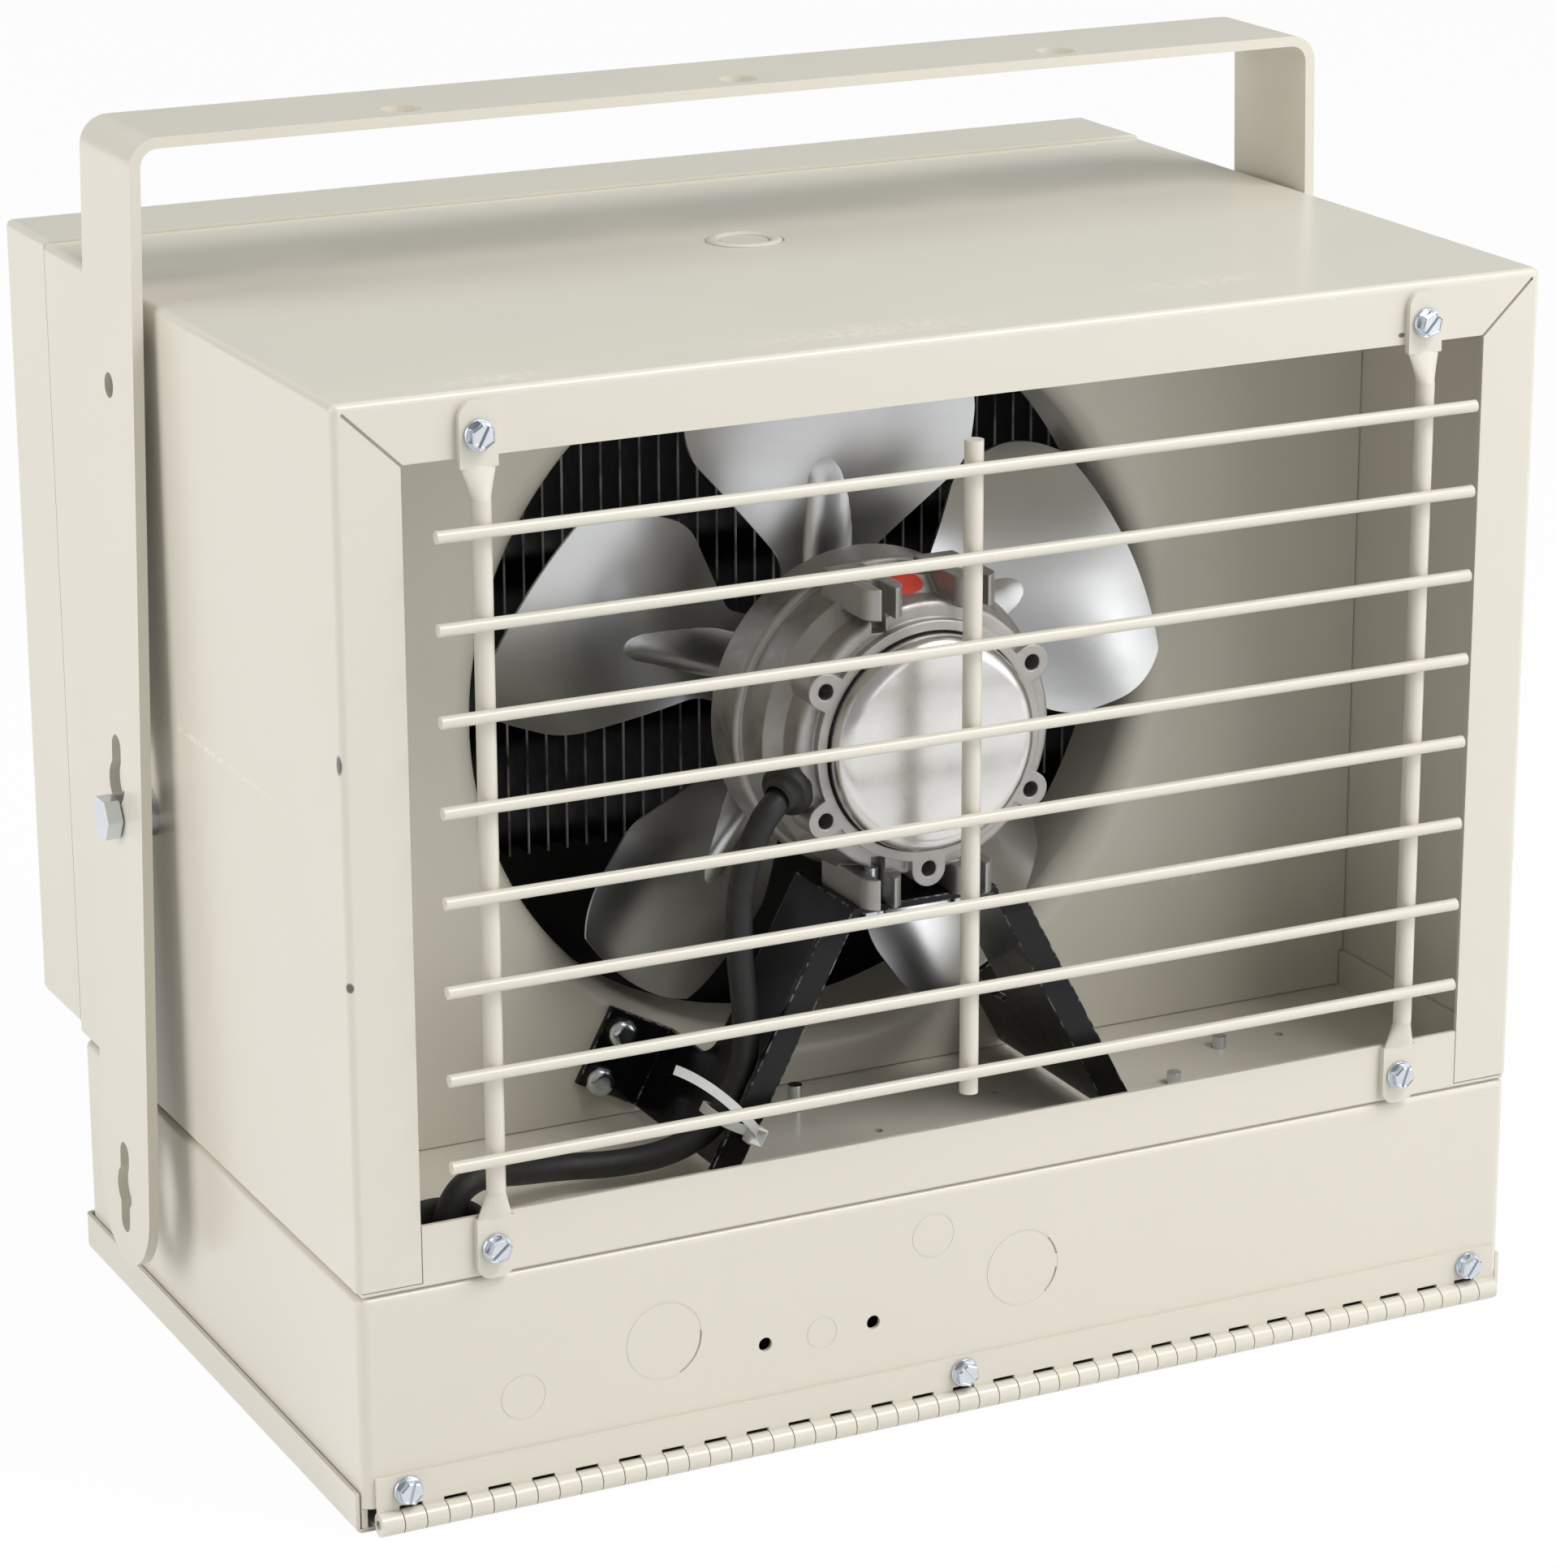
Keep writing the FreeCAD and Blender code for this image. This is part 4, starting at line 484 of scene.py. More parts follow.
def bright_steel():
    finish = Finish("bright_drawn_steel")
    smear = finish.noise(70.0, 5.0, 0.6)
    finish.colour(finish.mix(smear, "Fac", (0.66, 0.645, 0.63), (0.84, 0.83, 0.82)))
    finish.roughness(finish.noise(90.0, 2.0), 0.24, 0.34)
    finish.bump(finish.noise(45.0, 2.0), 0.06, 0.0006)
    finish.set(Metallic=1.0)
    return finish.material


def blade_metal(settings):
    finish = Finish("mill_aluminium")
    base = tuple(settings.blade)
    rolled = finish.noise(26.0, 3.0, 0.5, (1.0, 1.0, 3.0))
    finish.colour(finish.mix(rolled, "Fac", shade(base, 0.90), shade(base, 1.06)))
    finish.roughness(finish.noise(30.0, 2.0), 0.27, 0.36)
    finish.bump(finish.noise(60.0, 1.0, 0.4), 0.05, 0.0004)
    finish.set(Metallic=1.0)
    return finish.material


def plated_zinc(settings):
    finish = Finish("bright_zinc")
    base = tuple(settings.zinc)
    finish.round_edges(0.0002)
    bloom = finish.noise(160.0, 3.0, 0.5)
    finish.colour(finish.mix(bloom, "Fac", shade(base, 0.90), shade(base, 1.06)))
    finish.roughness(finish.noise(200.0, 2.0), 0.16, 0.26)
    finish.set(Metallic=1.0)
    return finish.material


def galvanised():
    finish = Finish("galvanised_sheet")
    spangle = finish.add("ShaderNodeTexVoronoi")
    spangle.inputs["Scale"].default_value = 120.0
    finish.link(finish.coords, "Object", spangle, "Vector")
    finish.colour(finish.mix(spangle, "Distance", (0.58, 0.59, 0.60), (0.40, 0.41, 0.43)))
    dull = finish.ramp(spangle, "Distance", 0.0, 1.0, 0.30, 0.50)
    finish.link(dull, "Result", finish.shader, "Roughness")
    finish.set(Metallic=0.9)
    return finish.material


def soft_rubber(name="lead_rubber", tone=0.009):
    finish = Finish(name)
    dust = finish.noise(220.0, 4.0, 0.6)
    finish.colour(finish.mix(dust, "Fac", (tone, tone, tone), (tone * 2.2, tone * 2.1, tone * 2.0)))
    finish.roughness(finish.noise(500.0, 3.0), 0.48, 0.64)
    finish.bump(finish.noise(1500.0, 2.0), 0.12, 0.0002)
    return finish.material


def moulded_black(name="black_moulding"):
    finish = Finish(name)
    grain = finish.noise(1300.0, 2.0)
    finish.colour(finish.mix(grain, "Fac", (0.020, 0.020, 0.021), (0.034, 0.034, 0.035)))
    finish.roughness(grain, 0.36, 0.50)
    finish.bump(grain, 0.15, 0.0002)
    return finish.material


def baked_fin():
    """Black fins whose cut rear edges show bare metal."""
    finish = Finish("baked_black_fin")
    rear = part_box("element_fins")[0][1]
    edge = finish.ramp(finish.axes(), "Y", rear + 0.0003, rear + 0.0006, 1.0, 0.0)
    bare = finish.ramp(finish.noise(60.0, 5.0), "Fac", 0.35, 0.6)
    rub = finish.combine("MULTIPLY", (edge, "Result"), (bare, "Result"))
    finish.colour(finish.mix(rub, "Value", (0.010, 0.010, 0.010), (0.55, 0.54, 0.51)))
    finish.roughness(finish.noise(200.0, 3.0), 0.38, 0.52)
    return finish.material


def brass_metal():
    finish = Finish("plain_brass")
    finish.colour(finish.mix(finish.noise(300.0, 4.0), "Fac", (0.60, 0.44, 0.20), (0.78, 0.60, 0.30)))
    finish.roughness(finish.noise(500.0, 3.0), 0.24, 0.38)
    finish.set(Metallic=1.0)
    return finish.material


def natural_nylon():
    finish = Finish("natural_nylon")
    cloud = finish.noise(180.0, 3.0)
    finish.colour(finish.mix(cloud, "Fac", (0.78, 0.79, 0.77), (0.90, 0.90, 0.88)))
    finish.roughness(cloud, 0.28, 0.40)
    finish.set(Subsurface_Weight=0.25, Subsurface_Scale=0.002, Transmission_Weight=0.12)
    return finish.material


def finish_for(name, maker):
    """The named material, made on its first use."""
    return bpy.data.materials.get(name) or maker()


def dress(nodes, material):
    """Gives carried-over nodes one finish."""
    for name in nodes:
        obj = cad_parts[name]
        obj.data.materials.clear()
        obj.data.materials.append(material)


def pick(context, *objects):
    """Selects only these objects, with the first one active."""
    bpy.ops.object.select_all(action="DESELECT")
    for obj in objects:
        obj.select_set(True)
    context.view_layer.objects.active = objects[0]


def settle():
    """Writes the selected objects' places, turns and scales into their meshes."""
    bpy.ops.object.transform_apply(location=True, rotation=True, scale=True)


def copies(context, first, count):
    """An object and its duplicates, so many in all."""
    made = [first]
    while len(made) < count:
        pick(context, first)
        bpy.ops.object.duplicate()
        made.append(context.object)
    return made


def joined(context, name, pieces):
    """The pieces as one named object, the first of them."""
    pick(context, *pieces)
    settle()
    bpy.ops.object.join()
    whole = pieces[0]
    whole.name = name
    whole.data.name = name
    return whole


def pick_faces(obj, wanted):
    """Selects only the faces that pass the test."""
    bpy.ops.object.mode_set(mode="EDIT")
    bpy.ops.mesh.select_mode(type="FACE")
    bpy.ops.mesh.select_all(action="DESELECT")
    shape = bmesh.from_edit_mesh(obj.data)
    for face in shape.faces:
        face.select_set(wanted(face))
    bmesh.update_edit_mesh(obj.data)
    bpy.ops.object.mode_set(mode="OBJECT")


def turned(context, name, foot, axis, profile, count=RING_SIDES):
    """A ring turned about an axis, from (radius, height) stations round its closed section."""
    bpy.ops.object.select_all(action="DESELECT")
    bpy.ops.mesh.primitive_circle_add(vertices=count, radius=profile[0][0], fill_type="NOTHING",
                                     location=(0.0, 0.0, 0.0))
    ring = context.object
    bpy.ops.object.mode_set(mode="EDIT")
    bpy.ops.mesh.select_mode(type="VERT")
    bpy.ops.mesh.select_all(action="SELECT")
    bpy.ops.transform.translate(value=(0.0, 0.0, profile[0][1]))
    for (radius, height), (after, level) in zip(profile, profile[1:] + profile[:1]):
        bpy.ops.mesh.extrude_region_move(TRANSFORM_OT_translate={"value": (0.0, 0.0, level - height)})
        share = after / radius
        bpy.ops.transform.resize(value=(share, share, 1.0), center_override=(0.0, 0.0, level))
    bpy.ops.mesh.select_all(action="SELECT")
    bpy.ops.mesh.remove_doubles(threshold=WELD_REACH)
    bpy.ops.mesh.normals_make_consistent(inside=False)
    bpy.ops.object.mode_set(mode="OBJECT")
    ring.matrix_world = Matrix.Translation(foot) @ axis.to_track_quat("Z", "Y").to_matrix().to_4x4()
    settle()
    bpy.ops.object.shade_smooth_by_angle(angle=RING_SMOOTH)
    ring.name = name
    ring.data.name = name
    return ring


def nurbs(name, points, order, steps, cyclic=False):
    """A smooth curve with these control points, which meets the first and last of them unless closed."""
    curve = bpy.data.curves.new(name, "CURVE")
    curve.dimensions = "3D"
    spline = curve.splines.new("NURBS")
    spline.points.add(len(points) - 1)
    for point, place in zip(spline.points, points):
        point.co = (*place, 1.0)
    spline.order_u = order
    spline.use_cyclic_u = cyclic
    spline.use_endpoint_u = not cyclic
    spline.resolution_u = steps
    return curve


def carry(piece, body, material):
    """Finishes a new piece and sets it on its body."""
    piece.data.materials.clear()
    piece.data.materials.append(material)
    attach(piece, body)


def seat(piece, node, material):
    """Finishes a new piece of the cabinet and lets it stand for its node."""
    carry(piece, "cabinet", material)
    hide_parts(node)


def enamel(context):
    return finish_for("almond_enamel", lambda: almond_enamel(context.scene.heater_finish))


def zinc(context):
    return finish_for("bright_zinc", lambda: plated_zinc(context.scene.heater_finish))


class HEATER_OT_casing(bpy.types.Operator):
    """Finishes casing, control box and door, and models knockout webs, the top's ring and the sleeve"""
    bl_idname = "heater.casing"
    bl_label = "Casing"

    def web(self, context, place, radius, gaps):
        """The metal left in one knockout's shear line, open over the arcs that are cut through."""
        x, z = place
        inner = radius - WEB_WIDTH / 2
        outer = radius + WEB_WIDTH / 2
        profile = [(inner, 0.0), (outer, 0.0), (outer, WEB_HEIGHT), (inner, WEB_HEIGHT)]
        foot = Vector((x, WEB_FOOT, z))
        web = turned(context, "knockout_web", foot, Vector((0.0, -1.0, 0.0)), profile, WEB_SIDES)

        def cut_through(face):
            middle = face.calc_center_median()
            turn = math.degrees(math.atan2(middle.z - z, middle.x - x))
            return any(low < turn < high for low, high in gaps)

        pick_faces(web, cut_through)
        bpy.ops.object.mode_set(mode="EDIT")
        bpy.ops.mesh.delete(type="FACE")
        bpy.ops.mesh.select_all(action="SELECT")
        bpy.ops.mesh.fill_holes(sides=0)
        bpy.ops.mesh.normals_make_consistent(inside=False)
        bpy.ops.object.mode_set(mode="OBJECT")
        return web

    def execute(self, context):
        paint = enamel(context)
        dress(ENAMEL_NODES, paint)
        webs = joined(context, "knockout_webs", [self.web(context, *knockout) for knockout in KNOCKOUTS])
        up = Vector((0.0, 0.0, 1.0))
        crown = turned(context, "top_knockout_ring", Vector(CROWN_PLACE), up, CROWN_PROFILE, CROWN_SIDES)
        inward = Vector((0.0, 1.0, 0.0))
        sleeve = turned(context, "orifice_sleeve", Vector(SLEEVE_START), inward, SLEEVE_PROFILE, SLEEVE_SIDES)
        for piece in (webs, crown, sleeve):
            carry(piece, "cabinet", paint)
        return {"FINISHED"}


class HEATER_OT_yoke(bpy.types.Operator):
    """Finishes the mounting yoke"""
    bl_idname = "heater.yoke"
    bl_label = "Yoke"

    def execute(self, context):
        dress(("yoke",), enamel(context))
        return {"FINISHED"}


class HEATER_OT_guard(bpy.types.Operator):
    """Finishes the welded intake guard"""
    bl_idname = "heater.guard"
    bl_label = "Intake guard"

    def execute(self, context):
        dress(("intake_guard",), enamel(context))
        return {"FINISHED"}


class HEATER_OT_louvers(bpy.types.Operator):
    """Finishes the outlet louvers and their rails"""
    bl_idname = "heater.louvers"
    bl_label = "Louvers"

    def execute(self, context):
        dress(LOUVER_NODES, enamel(context))
        return {"FINISHED"}


class HEATER_OT_hinge(bpy.types.Operator):
    """Finishes the piano hinge"""
    bl_idname = "heater.hinge"
    bl_label = "Piano hinge"

    def execute(self, context):
        dress(("hinge_fixed_leaf", "hinge_door_leaf"), enamel(context))
        dress(("hinge_pin",), zinc(context))
        return {"FINISHED"}


class HEATER_OT_screws(bpy.types.Operator):
    """Models the slotted hex washer head screws of the guard and hinge"""
    bl_idname = "heater.screws"
    bl_label = "Hex screws"

    def head(self, context):
        bpy.ops.object.select_all(action="DESELECT")
        bpy.ops.mesh.primitive_cylinder_add(vertices=6, radius=HEX_ACROSS / math.sqrt(3.0), depth=HEX_HEIGHT,
                                            location=(0.0, 0.0, HEX_HEIGHT / 2))
        head = context.object
        settle()
        pick_faces(head, lambda face: face.normal.z > FACING)
        bpy.ops.object.mode_set(mode="EDIT")
        bpy.ops.mesh.inset(thickness=HEX_CHAMFER, depth=HEX_CROWN)
        bpy.ops.mesh.inset(thickness=DISH_RIM, depth=-DISH_DEPTH)
        bpy.ops.object.mode_set(mode="OBJECT")
        bpy.ops.object.select_all(action="DESELECT")
        bpy.ops.mesh.primitive_cube_add(size=1.0, location=(0.0, 0.0, HEX_HEIGHT + HEX_CROWN))
        groove = context.object
        groove.scale = (HEX_ACROSS * 2, SLOT_WIDTH, SLOT_DEPTH * 2)
        cut = head.modifiers.new("slot", "BOOLEAN")
        cut.object = groove
        pick(context, head)
        bpy.ops.object.modifier_apply(modifier=cut.name)
        bpy.data.objects.remove(groove)
        return head

    def shank(self, context):
        bpy.ops.object.select_all(action="DESELECT")
        bpy.ops.mesh.primitive_cylinder_add(vertices=SHANK_SIDES, radius=SHANK_RADIUS, depth=SHANK_LENGTH,
                                            location=(0.0, 0.0, -SHANK_LENGTH / 2))
        shank = context.object
        settle()
        pick_faces(shank, lambda face: face.normal.z < -FACING)
        bpy.ops.object.mode_set(mode="EDIT")
        bpy.ops.mesh.inset(thickness=SHANK_RADIUS / 2, depth=SHANK_RADIUS / 2)
        bpy.ops.object.mode_set(mode="OBJECT")
        return shank

    def screws(self, context, name, node, seats):
        """One screw, copied to each seat with its head towards the rear."""
        washer = turned(context, name, Vector(), Vector((0.0, 0.0, 1.0)), WASHER_PROFILE)
        screw = joined(context, name, [washer, self.head(context), self.shank(context)])
        screws = copies(context, screw, len(seats))
        rearward = Matrix.Rotation(math.radians(90.0), 4, "X")
        for screw, (place, turn) in zip(screws, seats):
            slot_turn = Matrix.Rotation(math.radians(turn), 4, "Z")
            screw.matrix_world = Matrix.Translation(place) @ rearward @ slot_turn
        whole = joined(context, name, screws)
        bpy.ops.object.shade_smooth_by_angle(angle=SCREW_SMOOTH)
        seat(whole, node, zinc(context))

    def execute(self, context):
        self.screws(context, "guard_screw_set", "guard_screws", GUARD_SEATS)
        self.screws(context, "hinge_screw_set", "hinge_screws", HINGE_SEATS)
        return {"FINISHED"}


class HEATER_OT_fasteners(bpy.types.Operator):
    """Finishes the other screws, bolts, spacers and nuts"""
    bl_idname = "heater.fasteners"
    bl_label = "Fasteners"

    def execute(self, context):
        dress(PLATED_NODES, zinc(context))
        dress(("terminal_screws",), finish_for("plain_brass", brass_metal))
        return {"FINISHED"}


class HEATER_OT_fan(bpy.types.Operator):
    """Finishes the fan, its hub and shaft, and models the pressed ribs of its blades"""
    bl_idname = "heater.fan"
    bl_label = "Fan"

    def rib(self, context):
        """One pressed rib, along +X from the fan's centre, with a rounded outer end."""
        bpy.ops.object.select_all(action="DESELECT")
        bpy.ops.mesh.primitive_uv_sphere_add(segments=RIB_SEGMENTS, ring_count=RIB_RINGS, radius=1.0,
                                             location=(0.0, 0.0, 0.0))
        rib = context.object
        rib.scale = RIB_RADII
        settle()
        bpy.ops.object.mode_set(mode="EDIT")
        bpy.ops.mesh.select_all(action="SELECT")
        bpy.ops.mesh.bisect(plane_co=(0.0, -RIB_DEPTH, 0.0), plane_no=(0.0, 1.0, 0.0), use_fill=True,
                            clear_outer=True)
        bpy.ops.mesh.select_all(action="SELECT")
        bpy.ops.mesh.bisect(plane_co=(0.0, 0.0, 0.0), plane_no=(1.0, 0.0, 0.0))
        bpy.ops.object.mode_set(mode="OBJECT")
        pick_faces(rib, lambda face: face.calc_center_median().x < 0.0)
        bpy.ops.object.mode_set(mode="EDIT")
        bpy.ops.transform.translate(value=(RIB_ROOT - RIB_REACH, 0.0, 0.0))
        bpy.ops.transform.resize(value=(1.0, RIB_RISE, 1.0), center_override=(0.0, -RIB_DEPTH, 0.0))
        bpy.ops.mesh.select_all(action="SELECT")
        bpy.ops.transform.translate(value=(0.0, RIB_DEPTH, 0.0))
        bpy.ops.object.mode_set(mode="OBJECT")
        slope = Matrix.Rotation(-math.radians(RIB_SLOPE), 4, "Z")
        pitch = Matrix.Rotation(math.radians(RIB_PITCH), 4, "X")
        rib.matrix_world = Matrix.Translation((RIB_REACH, -RIB_LIFT, 0.0)) @ slope @ pitch
        settle()
        return rib

    def ribs(self, context):
        ribs = copies(context, self.rib(context), BLADE_COUNT)
        for i, rib in enumerate(ribs):
            turn = Matrix.Rotation(-math.radians(BLADE_PHASE + 360.0 * i / BLADE_COUNT), 4, "Y")
            rib.matrix_world = Matrix.Translation(FAN_CENTRE) @ turn
        whole = joined(context, "fan_blade_ribs", ribs)
        bpy.ops.object.shade_smooth_by_angle(angle=RIB_SMOOTH)
        return whole

    def execute(self, context):
        metal = blade_metal(context.scene.heater_finish)
        dress(("fan_blades", "fan_hub"), metal)
        dress(("motor_shaft",), finish_for("bright_drawn_steel", bright_steel))
        carry(self.ribs(context), "fan", metal)
        return {"FINISHED"}


class HEATER_OT_motor(bpy.types.Operator):
    """Finishes the motor housing and its end cap"""
    bl_idname = "heater.motor"
    bl_label = "Motor"

    def execute(self, context):
        dress(("motor_housing",), cast_metal(context.scene.heater_finish))
        dress(("motor_end_cap",), finish_for("bright_drawn_steel", bright_steel))
        return {"FINISHED"}


class HEATER_OT_bracket(bpy.types.Operator):
    """Finishes the motor bracket"""
    bl_idname = "heater.bracket"
    bl_label = "Motor bracket"

    def execute(self, context):
        dress(("motor_bracket",), black_enamel(context.scene.heater_finish))
        return {"FINISHED"}


class HEATER_OT_element(bpy.types.Operator):
    """Finishes the finned element, its end plates and the thermal limit, and models the baffle's fold"""
    bl_idname = "heater.element"
    bl_label = "Heating element"

    def fold(self, context):
        """The baffle's top edge, folded forward under the fins."""
        low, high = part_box("element_baffle")
        bpy.ops.object.select_all(action="DESELECT")
        middle = ((low[0] + high[0]) / 2, low[1] + FOLD_DEPTH / 2, high[2] - FOLD_THICKNESS / 2)
        bpy.ops.mesh.primitive_cube_add(size=1.0, location=middle)
        fold = context.object
        fold.scale = (high[0] - low[0], FOLD_DEPTH, FOLD_THICKNESS)
        settle()
        bpy.ops.object.mode_set(mode="EDIT")
        bpy.ops.mesh.select_all(action="SELECT")
        bpy.ops.mesh.bevel(offset=FOLD_THICKNESS / 4, segments=2, affect="EDGES")
        bpy.ops.object.mode_set(mode="OBJECT")
        fold.name = "element_baffle_fold"
        fold.data.name = "element_baffle_fold"
        return fold

    def execute(self, context):
        dress(("element_fins",), baked_fin())
        dress(("element_tubes",), moulded_black("baked_black_sheath"))
        # Partly the baffle's own black and partly painted shade: the sheet and its fold are made near-black
        # and dull, so the space under the fins stays dark.
        sheet = soft_rubber("baked_black_sheet", 0.004)
        dress(("element_baffle",), sheet)
        carry(self.fold(context), "cabinet", sheet)
        dress(("element_end_plate_left", "element_end_plate_right", "limit_switch"), galvanised())
        return {"FINISHED"}


class HEATER_OT_controls(bpy.types.Operator):
    """Finishes the contactor and terminal block"""
    bl_idname = "heater.controls"
    bl_label = "Controls"

    def execute(self, context):
        dress(("contactor", "terminal_block"), finish_for("black_moulding", moulded_black))
        return {"FINISHED"}


class HEATER_OT_bushings(bpy.types.Operator):
    """Turns the floor bushing and the stepped grommet that hold the lead"""
    bl_idname = "heater.bushings"
    bl_label = "Bushings"

    def execute(self, context):
        low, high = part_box("floor_bushing")
        middle = (Vector(low) + Vector(high)) / 2
        foot = Vector((middle.x, middle.y, low[2]))
        bushing = turned(context, "floor_bushing_ring", foot, Vector((0.0, 0.0, 1.0)), BUSHING_PROFILE)
        seat(bushing, "floor_bushing", finish_for("black_moulding", moulded_black))
        start, after = (Vector(place) for place in LEAD_ROUTE[:2])
        along = (after - start).normalized()
        grommet = turned(context, "lead_grommet_boot", start + along * GROMMET_START, along, GROMMET_PROFILE)
        seat(grommet, "lead_grommet", finish_for("lead_rubber", soft_rubber))
        return {"FINISHED"}


class HEATER_OT_tie(bpy.types.Operator):
    """Models the cable tie: a band round leg and lead, a moulded head and a curled tail"""
    bl_idname = "heater.tie"
    bl_label = "Cable tie"

    def band(self, context, points, cyclic):
        """A flat strip along the points, thickened to both sides."""
        curve = nurbs("tie_band", points, BAND_ORDER, BAND_STEPS, cyclic)
        curve.twist_mode = "Z_UP"
        curve.extrude = context.scene.heater_tie.width / 2
        strip = bpy.data.objects.new("tie_band", curve)
        context.collection.objects.link(strip)
        pick(context, strip)
        bpy.ops.object.convert(target="MESH")
        strip = context.object
        thick = strip.modifiers.new("thickness", "SOLIDIFY")
        thick.thickness = context.scene.heater_tie.thickness
        thick.offset = 0.0
        bpy.ops.object.modifier_apply(modifier=thick.name)
        return strip

    def head(self, context):
        """The rounded head, with its mouth sunk in the outer face."""
        bpy.ops.object.select_all(action="DESELECT")
        bpy.ops.mesh.primitive_cube_add(size=1.0, location=TIE_HEAD_PLACE)
        head = context.object
        head.scale = TIE_HEAD_SIZE
        settle()
        bpy.ops.object.mode_set(mode="EDIT")
        bpy.ops.mesh.select_all(action="SELECT")
        bpy.ops.mesh.bevel(offset=TIE_HEAD_ROUND, segments=3, affect="EDGES")
        bpy.ops.object.mode_set(mode="OBJECT")
        pick_faces(head, lambda face: face.normal.y < -FACING and face.calc_area() > TIE_MOUTH_AREA)
        bpy.ops.object.mode_set(mode="EDIT")
        bpy.ops.mesh.inset(thickness=TIE_MOUTH_RIM, depth=-TIE_MOUTH_DEPTH)
        bpy.ops.object.mode_set(mode="OBJECT")
        return head

    def execute(self, context):
        loop = self.band(context, TIE_LOOP, True)
        tail = self.band(context, TIE_TAIL, False)
        strap = joined(context, "cable_tie_strap", [self.head(context), loop, tail])
        strap.matrix_world = Matrix((TIE_OUT, (0.0, 1.0, 0.0), TIE_DOWN)).transposed().to_4x4()
        strap.matrix_world.translation = TIE_PLACE
        settle()
        bpy.ops.object.shade_smooth_by_angle(angle=RING_SMOOTH)
        seat(strap, "cable_tie", natural_nylon())
        return {"FINISHED"}


class HEATER_OT_lead(bpy.types.Operator):
    """Lays the motor lead along its route"""
    bl_idname = "heater.lead"
    bl_label = "Motor lead"

    def execute(self, context):
        sizes = context.scene.heater_lead
        curve = nurbs("motor_lead_cable", LEAD_ROUTE, LEAD_ORDER, LEAD_STEPS)
        curve.bevel_depth = sizes.diameter / 2
        curve.bevel_resolution = LEAD_SIDES
        curve.use_fill_caps = True
        lead = bpy.data.objects.new("motor_lead_cable", curve)
        context.collection.objects.link(lead)
        curve.materials.append(finish_for("lead_rubber", soft_rubber))
        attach(lead, "cabinet")
        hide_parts("motor_lead")
        return {"FINISHED"}


def softbox(context, name, place, size, colour, power):
    """An area light that faces the heater."""
    data = bpy.data.lights.new(name, "AREA")
    data.shape = "RECTANGLE"
    data.size, data.size_y = size
    data.energy = power
    data.color = colour
    lamp = bpy.data.objects.new(name, data)
    lamp.location = place
    lamp.rotation_euler = (Vector(LIGHT_TARGET) - Vector(place)).to_track_quat("-Z", "Y").to_euler()
    context.collection.objects.link(lamp)


class HEATER_OT_stage(bpy.types.Operator):
    """Sets the floor, soft light and camera"""
    bl_idname = "heater.stage"
    bl_label = "Stage"

    def camera(self, context, stage):
        data = bpy.data.cameras.new("camera")
        data.lens = stage.lens
        data.sensor_width = SENSOR_WIDTH
        data.clip_end = VIEW_END
        level = math.cos(stage.pitch)
        ahead = Vector((math.sin(stage.yaw) * level, math.cos(stage.yaw) * level, -math.sin(stage.pitch)))
        right = Vector((math.cos(stage.yaw), -math.sin(stage.yaw), 0.0))
        up = right.cross(ahead)
        turn = Matrix((right, up, -ahead)).transposed() @ Matrix.Rotation(stage.roll, 3, "Z")
        eye = bpy.data.objects.new("camera", data)
        eye.matrix_world = Matrix.Translation(stage.eye) @ turn.to_4x4()
        context.collection.objects.link(eye)
        context.scene.camera = eye

    def floor(self, context):
        """A pale floor that the camera sees as nearly white, with a faint shadow."""
        bpy.ops.object.select_all(action="DESELECT")
        bpy.ops.mesh.primitive_plane_add(size=FLOOR_SIZE, location=(0.0, 0.0, 0.0))
        plane = context.object
        plane.name = "studio_floor"
        finish = Finish("studio_floor")
        finish.set(Roughness=0.9)
        finish.colour(finish.mix(finish.noise(3.0), "Fac", *FLOOR_TONES))
        glow = finish.add("ShaderNodeEmission")
        glow.inputs["Strength"].default_value = 1.0
        rays = finish.add("ShaderNodeLightPath")
        mirrored = finish.combine("MAXIMUM", (rays, "Is Camera Ray"), (rays, "Is Glossy Ray"))
        seen = finish.combine("MAXIMUM", (mirrored, "Value"), (rays, "Is Transmission Ray"))
        share = finish.combine("MULTIPLY", (seen, "Value"), BACKDROP_WHITE)
        blend = finish.add("ShaderNodeMixShader")
        finish.link(share, "Value", blend, "Fac")
        finish.link(finish.shader, "BSDF", blend, 1)
        finish.link(glow, "Emission", blend, 2)
        finish.link(blend, "Shader", finish.out, "Surface")
        plane.data.materials.append(finish.material)

    def sky(self, context, strength):
        """An even light from all round, which the camera sees as white."""
        world = bpy.data.worlds.new("studio")
        world.use_nodes = True
        tree = world.node_tree
        tree.nodes.clear()
        out = tree.nodes.new("ShaderNodeOutputWorld")
        back = tree.nodes.new("ShaderNodeBackground")
        rays = tree.nodes.new("ShaderNodeLightPath")
        back.inputs["Color"].default_value = (1.0, 1.0, 1.0, 1.0)
        seen = tree.nodes.new("ShaderNodeMapRange")
        seen.inputs["To Min"].default_value = strength
        seen.inputs["To Max"].default_value = BACKDROP_WHITE
        tree.links.new(rays.outputs["Is Camera Ray"], seen.inputs["Value"])
        tree.links.new(seen.outputs["Result"], back.inputs["Strength"])
        tree.links.new(back.outputs["Background"], out.inputs["Surface"])
        context.scene.world = world

    def execute(self, context):
        stage = context.scene.heater_stage
        context.scene.view_settings.view_transform = "Standard"
        self.camera(context, stage)
        self.floor(context)
        self.sky(context, stage.sky)
        for name, place, size, colour in LIGHTS:
            softbox(context, name, place, size, colour, getattr(stage, name))
        return {"FINISHED"}


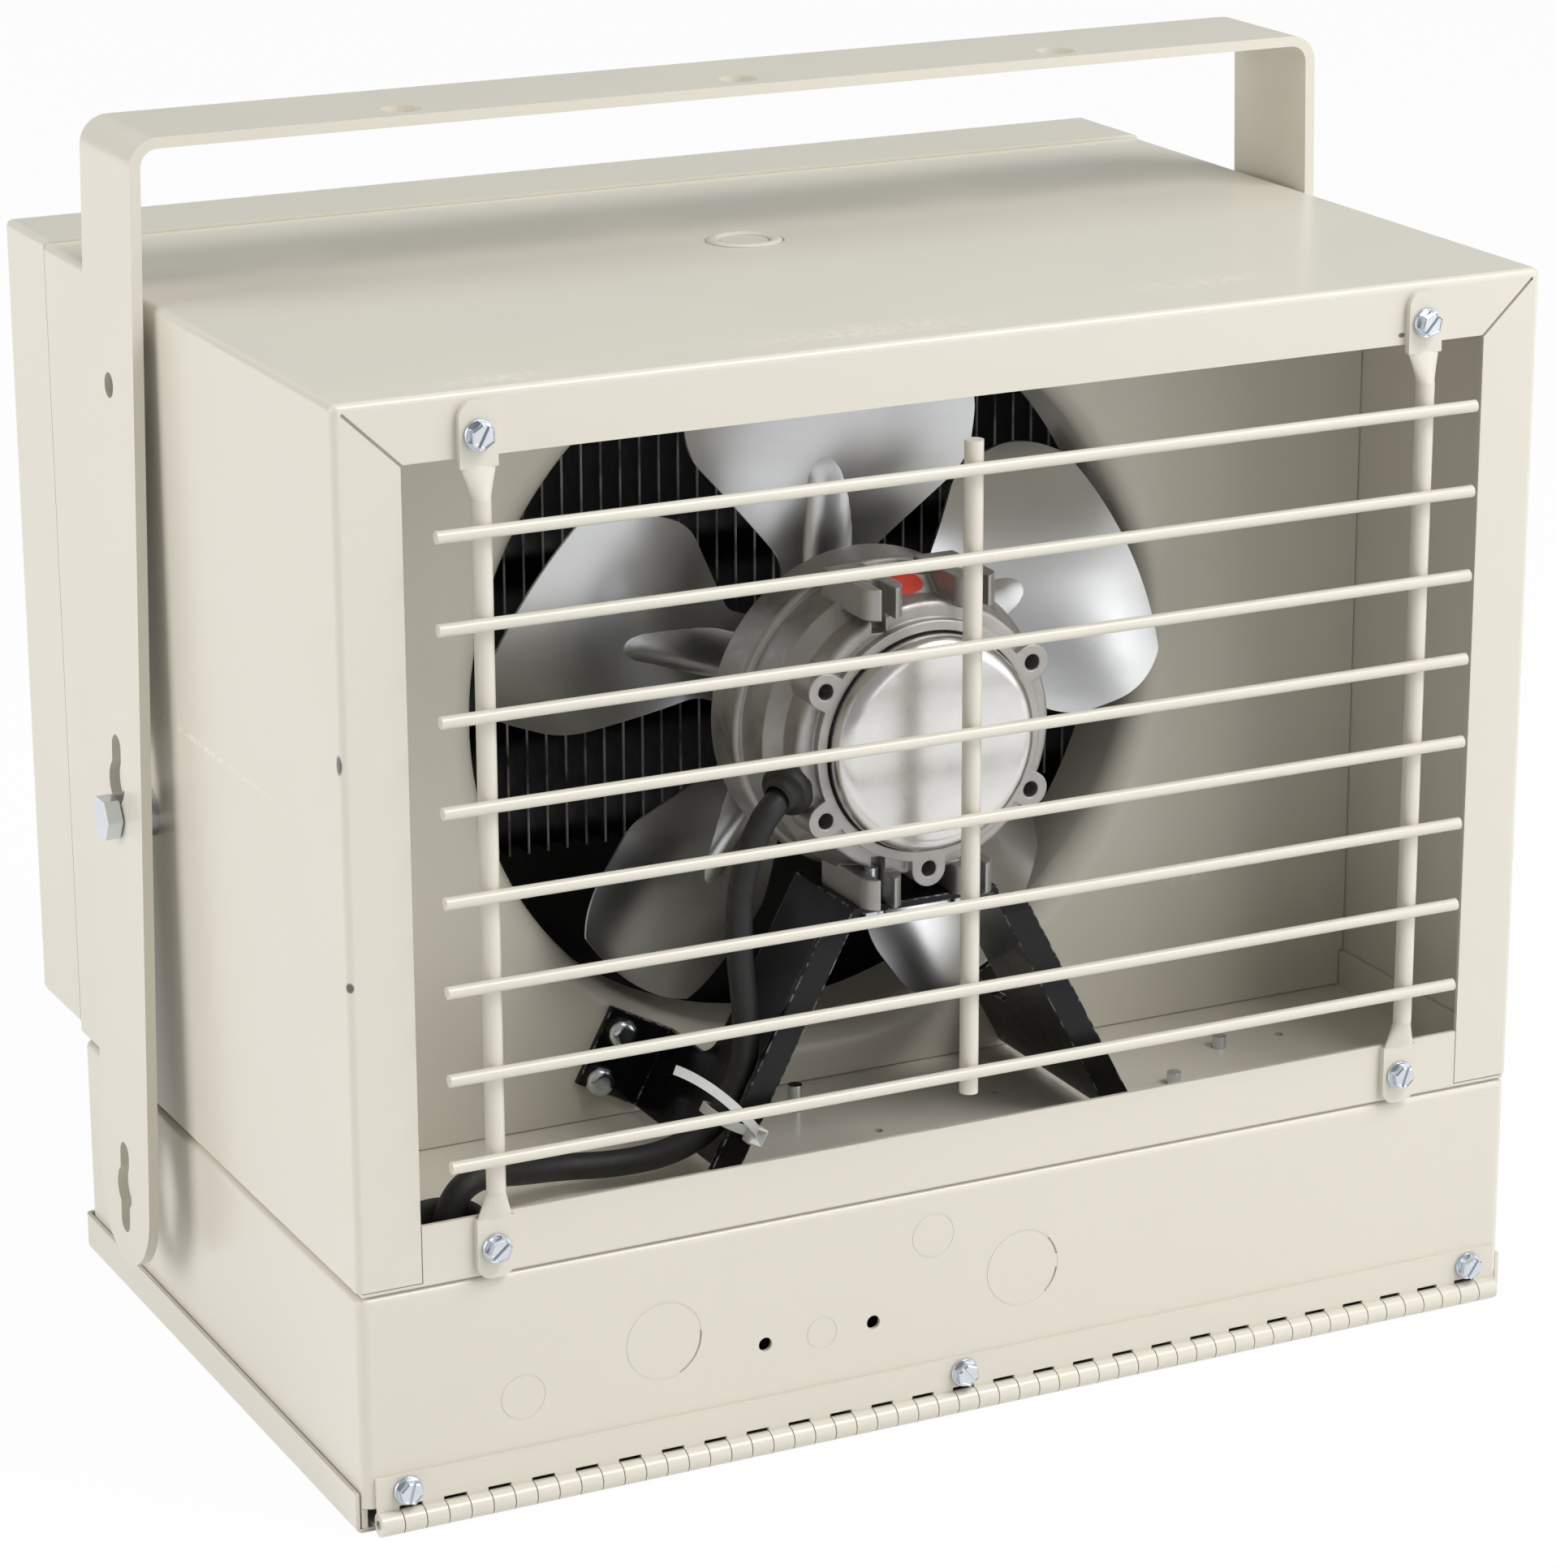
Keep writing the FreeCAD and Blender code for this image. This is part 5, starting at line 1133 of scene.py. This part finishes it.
PIECES = (
    HEATER_OT_casing, HEATER_OT_yoke, HEATER_OT_guard, HEATER_OT_louvers, HEATER_OT_hinge,
    HEATER_OT_fasteners, HEATER_OT_screws, HEATER_OT_fan, HEATER_OT_motor, HEATER_OT_bracket,
    HEATER_OT_element, HEATER_OT_controls, HEATER_OT_lead, HEATER_OT_bushings, HEATER_OT_tie,
    HEATER_OT_stage,
)


class HEATER_PT_sidebar(bpy.types.Panel):
    """Lists the heater's pieces and settings"""
    bl_idname = "HEATER_PT_sidebar"
    bl_label = "Heater"
    bl_space_type = "VIEW_3D"
    bl_region_type = "UI"
    bl_category = "Heater"

    def draw(self, context):
        for piece in PIECES:
            self.layout.operator(piece.bl_idname)
        scene = context.scene
        for group in (scene.heater_finish, scene.heater_lead, scene.heater_tie, scene.heater_stage):
            for name in group.bl_rna.properties.keys():
                if name not in ("rna_type", "name"):
                    self.layout.prop(group, name)


GROUPS = (HeaterFinish, HeaterLead, HeaterTie, HeaterStage)


def register():
    for kind in GROUPS + PIECES + (HEATER_PT_sidebar,):
        bpy.utils.register_class(kind)
    bpy.types.Scene.heater_finish = bpy.props.PointerProperty(type=HeaterFinish)
    bpy.types.Scene.heater_lead = bpy.props.PointerProperty(type=HeaterLead)
    bpy.types.Scene.heater_tie = bpy.props.PointerProperty(type=HeaterTie)
    bpy.types.Scene.heater_stage = bpy.props.PointerProperty(type=HeaterStage)


def unregister():
    del bpy.types.Scene.heater_stage
    del bpy.types.Scene.heater_tie
    del bpy.types.Scene.heater_lead
    del bpy.types.Scene.heater_finish
    for kind in reversed(GROUPS + PIECES + (HEATER_PT_sidebar,)):
        bpy.utils.unregister_class(kind)


def main():
    register()
    bpy.ops.heater.casing()
    bpy.ops.heater.yoke()
    bpy.ops.heater.guard()
    bpy.ops.heater.louvers()
    bpy.ops.heater.hinge()
    bpy.ops.heater.fasteners()
    bpy.ops.heater.screws()
    bpy.ops.heater.fan()
    bpy.ops.heater.motor()
    bpy.ops.heater.bracket()
    bpy.ops.heater.element()
    bpy.ops.heater.controls()
    bpy.ops.heater.lead()
    bpy.ops.heater.bushings()
    bpy.ops.heater.tie()
    bpy.ops.heater.stage()


if __name__ == "__main__":
    main()
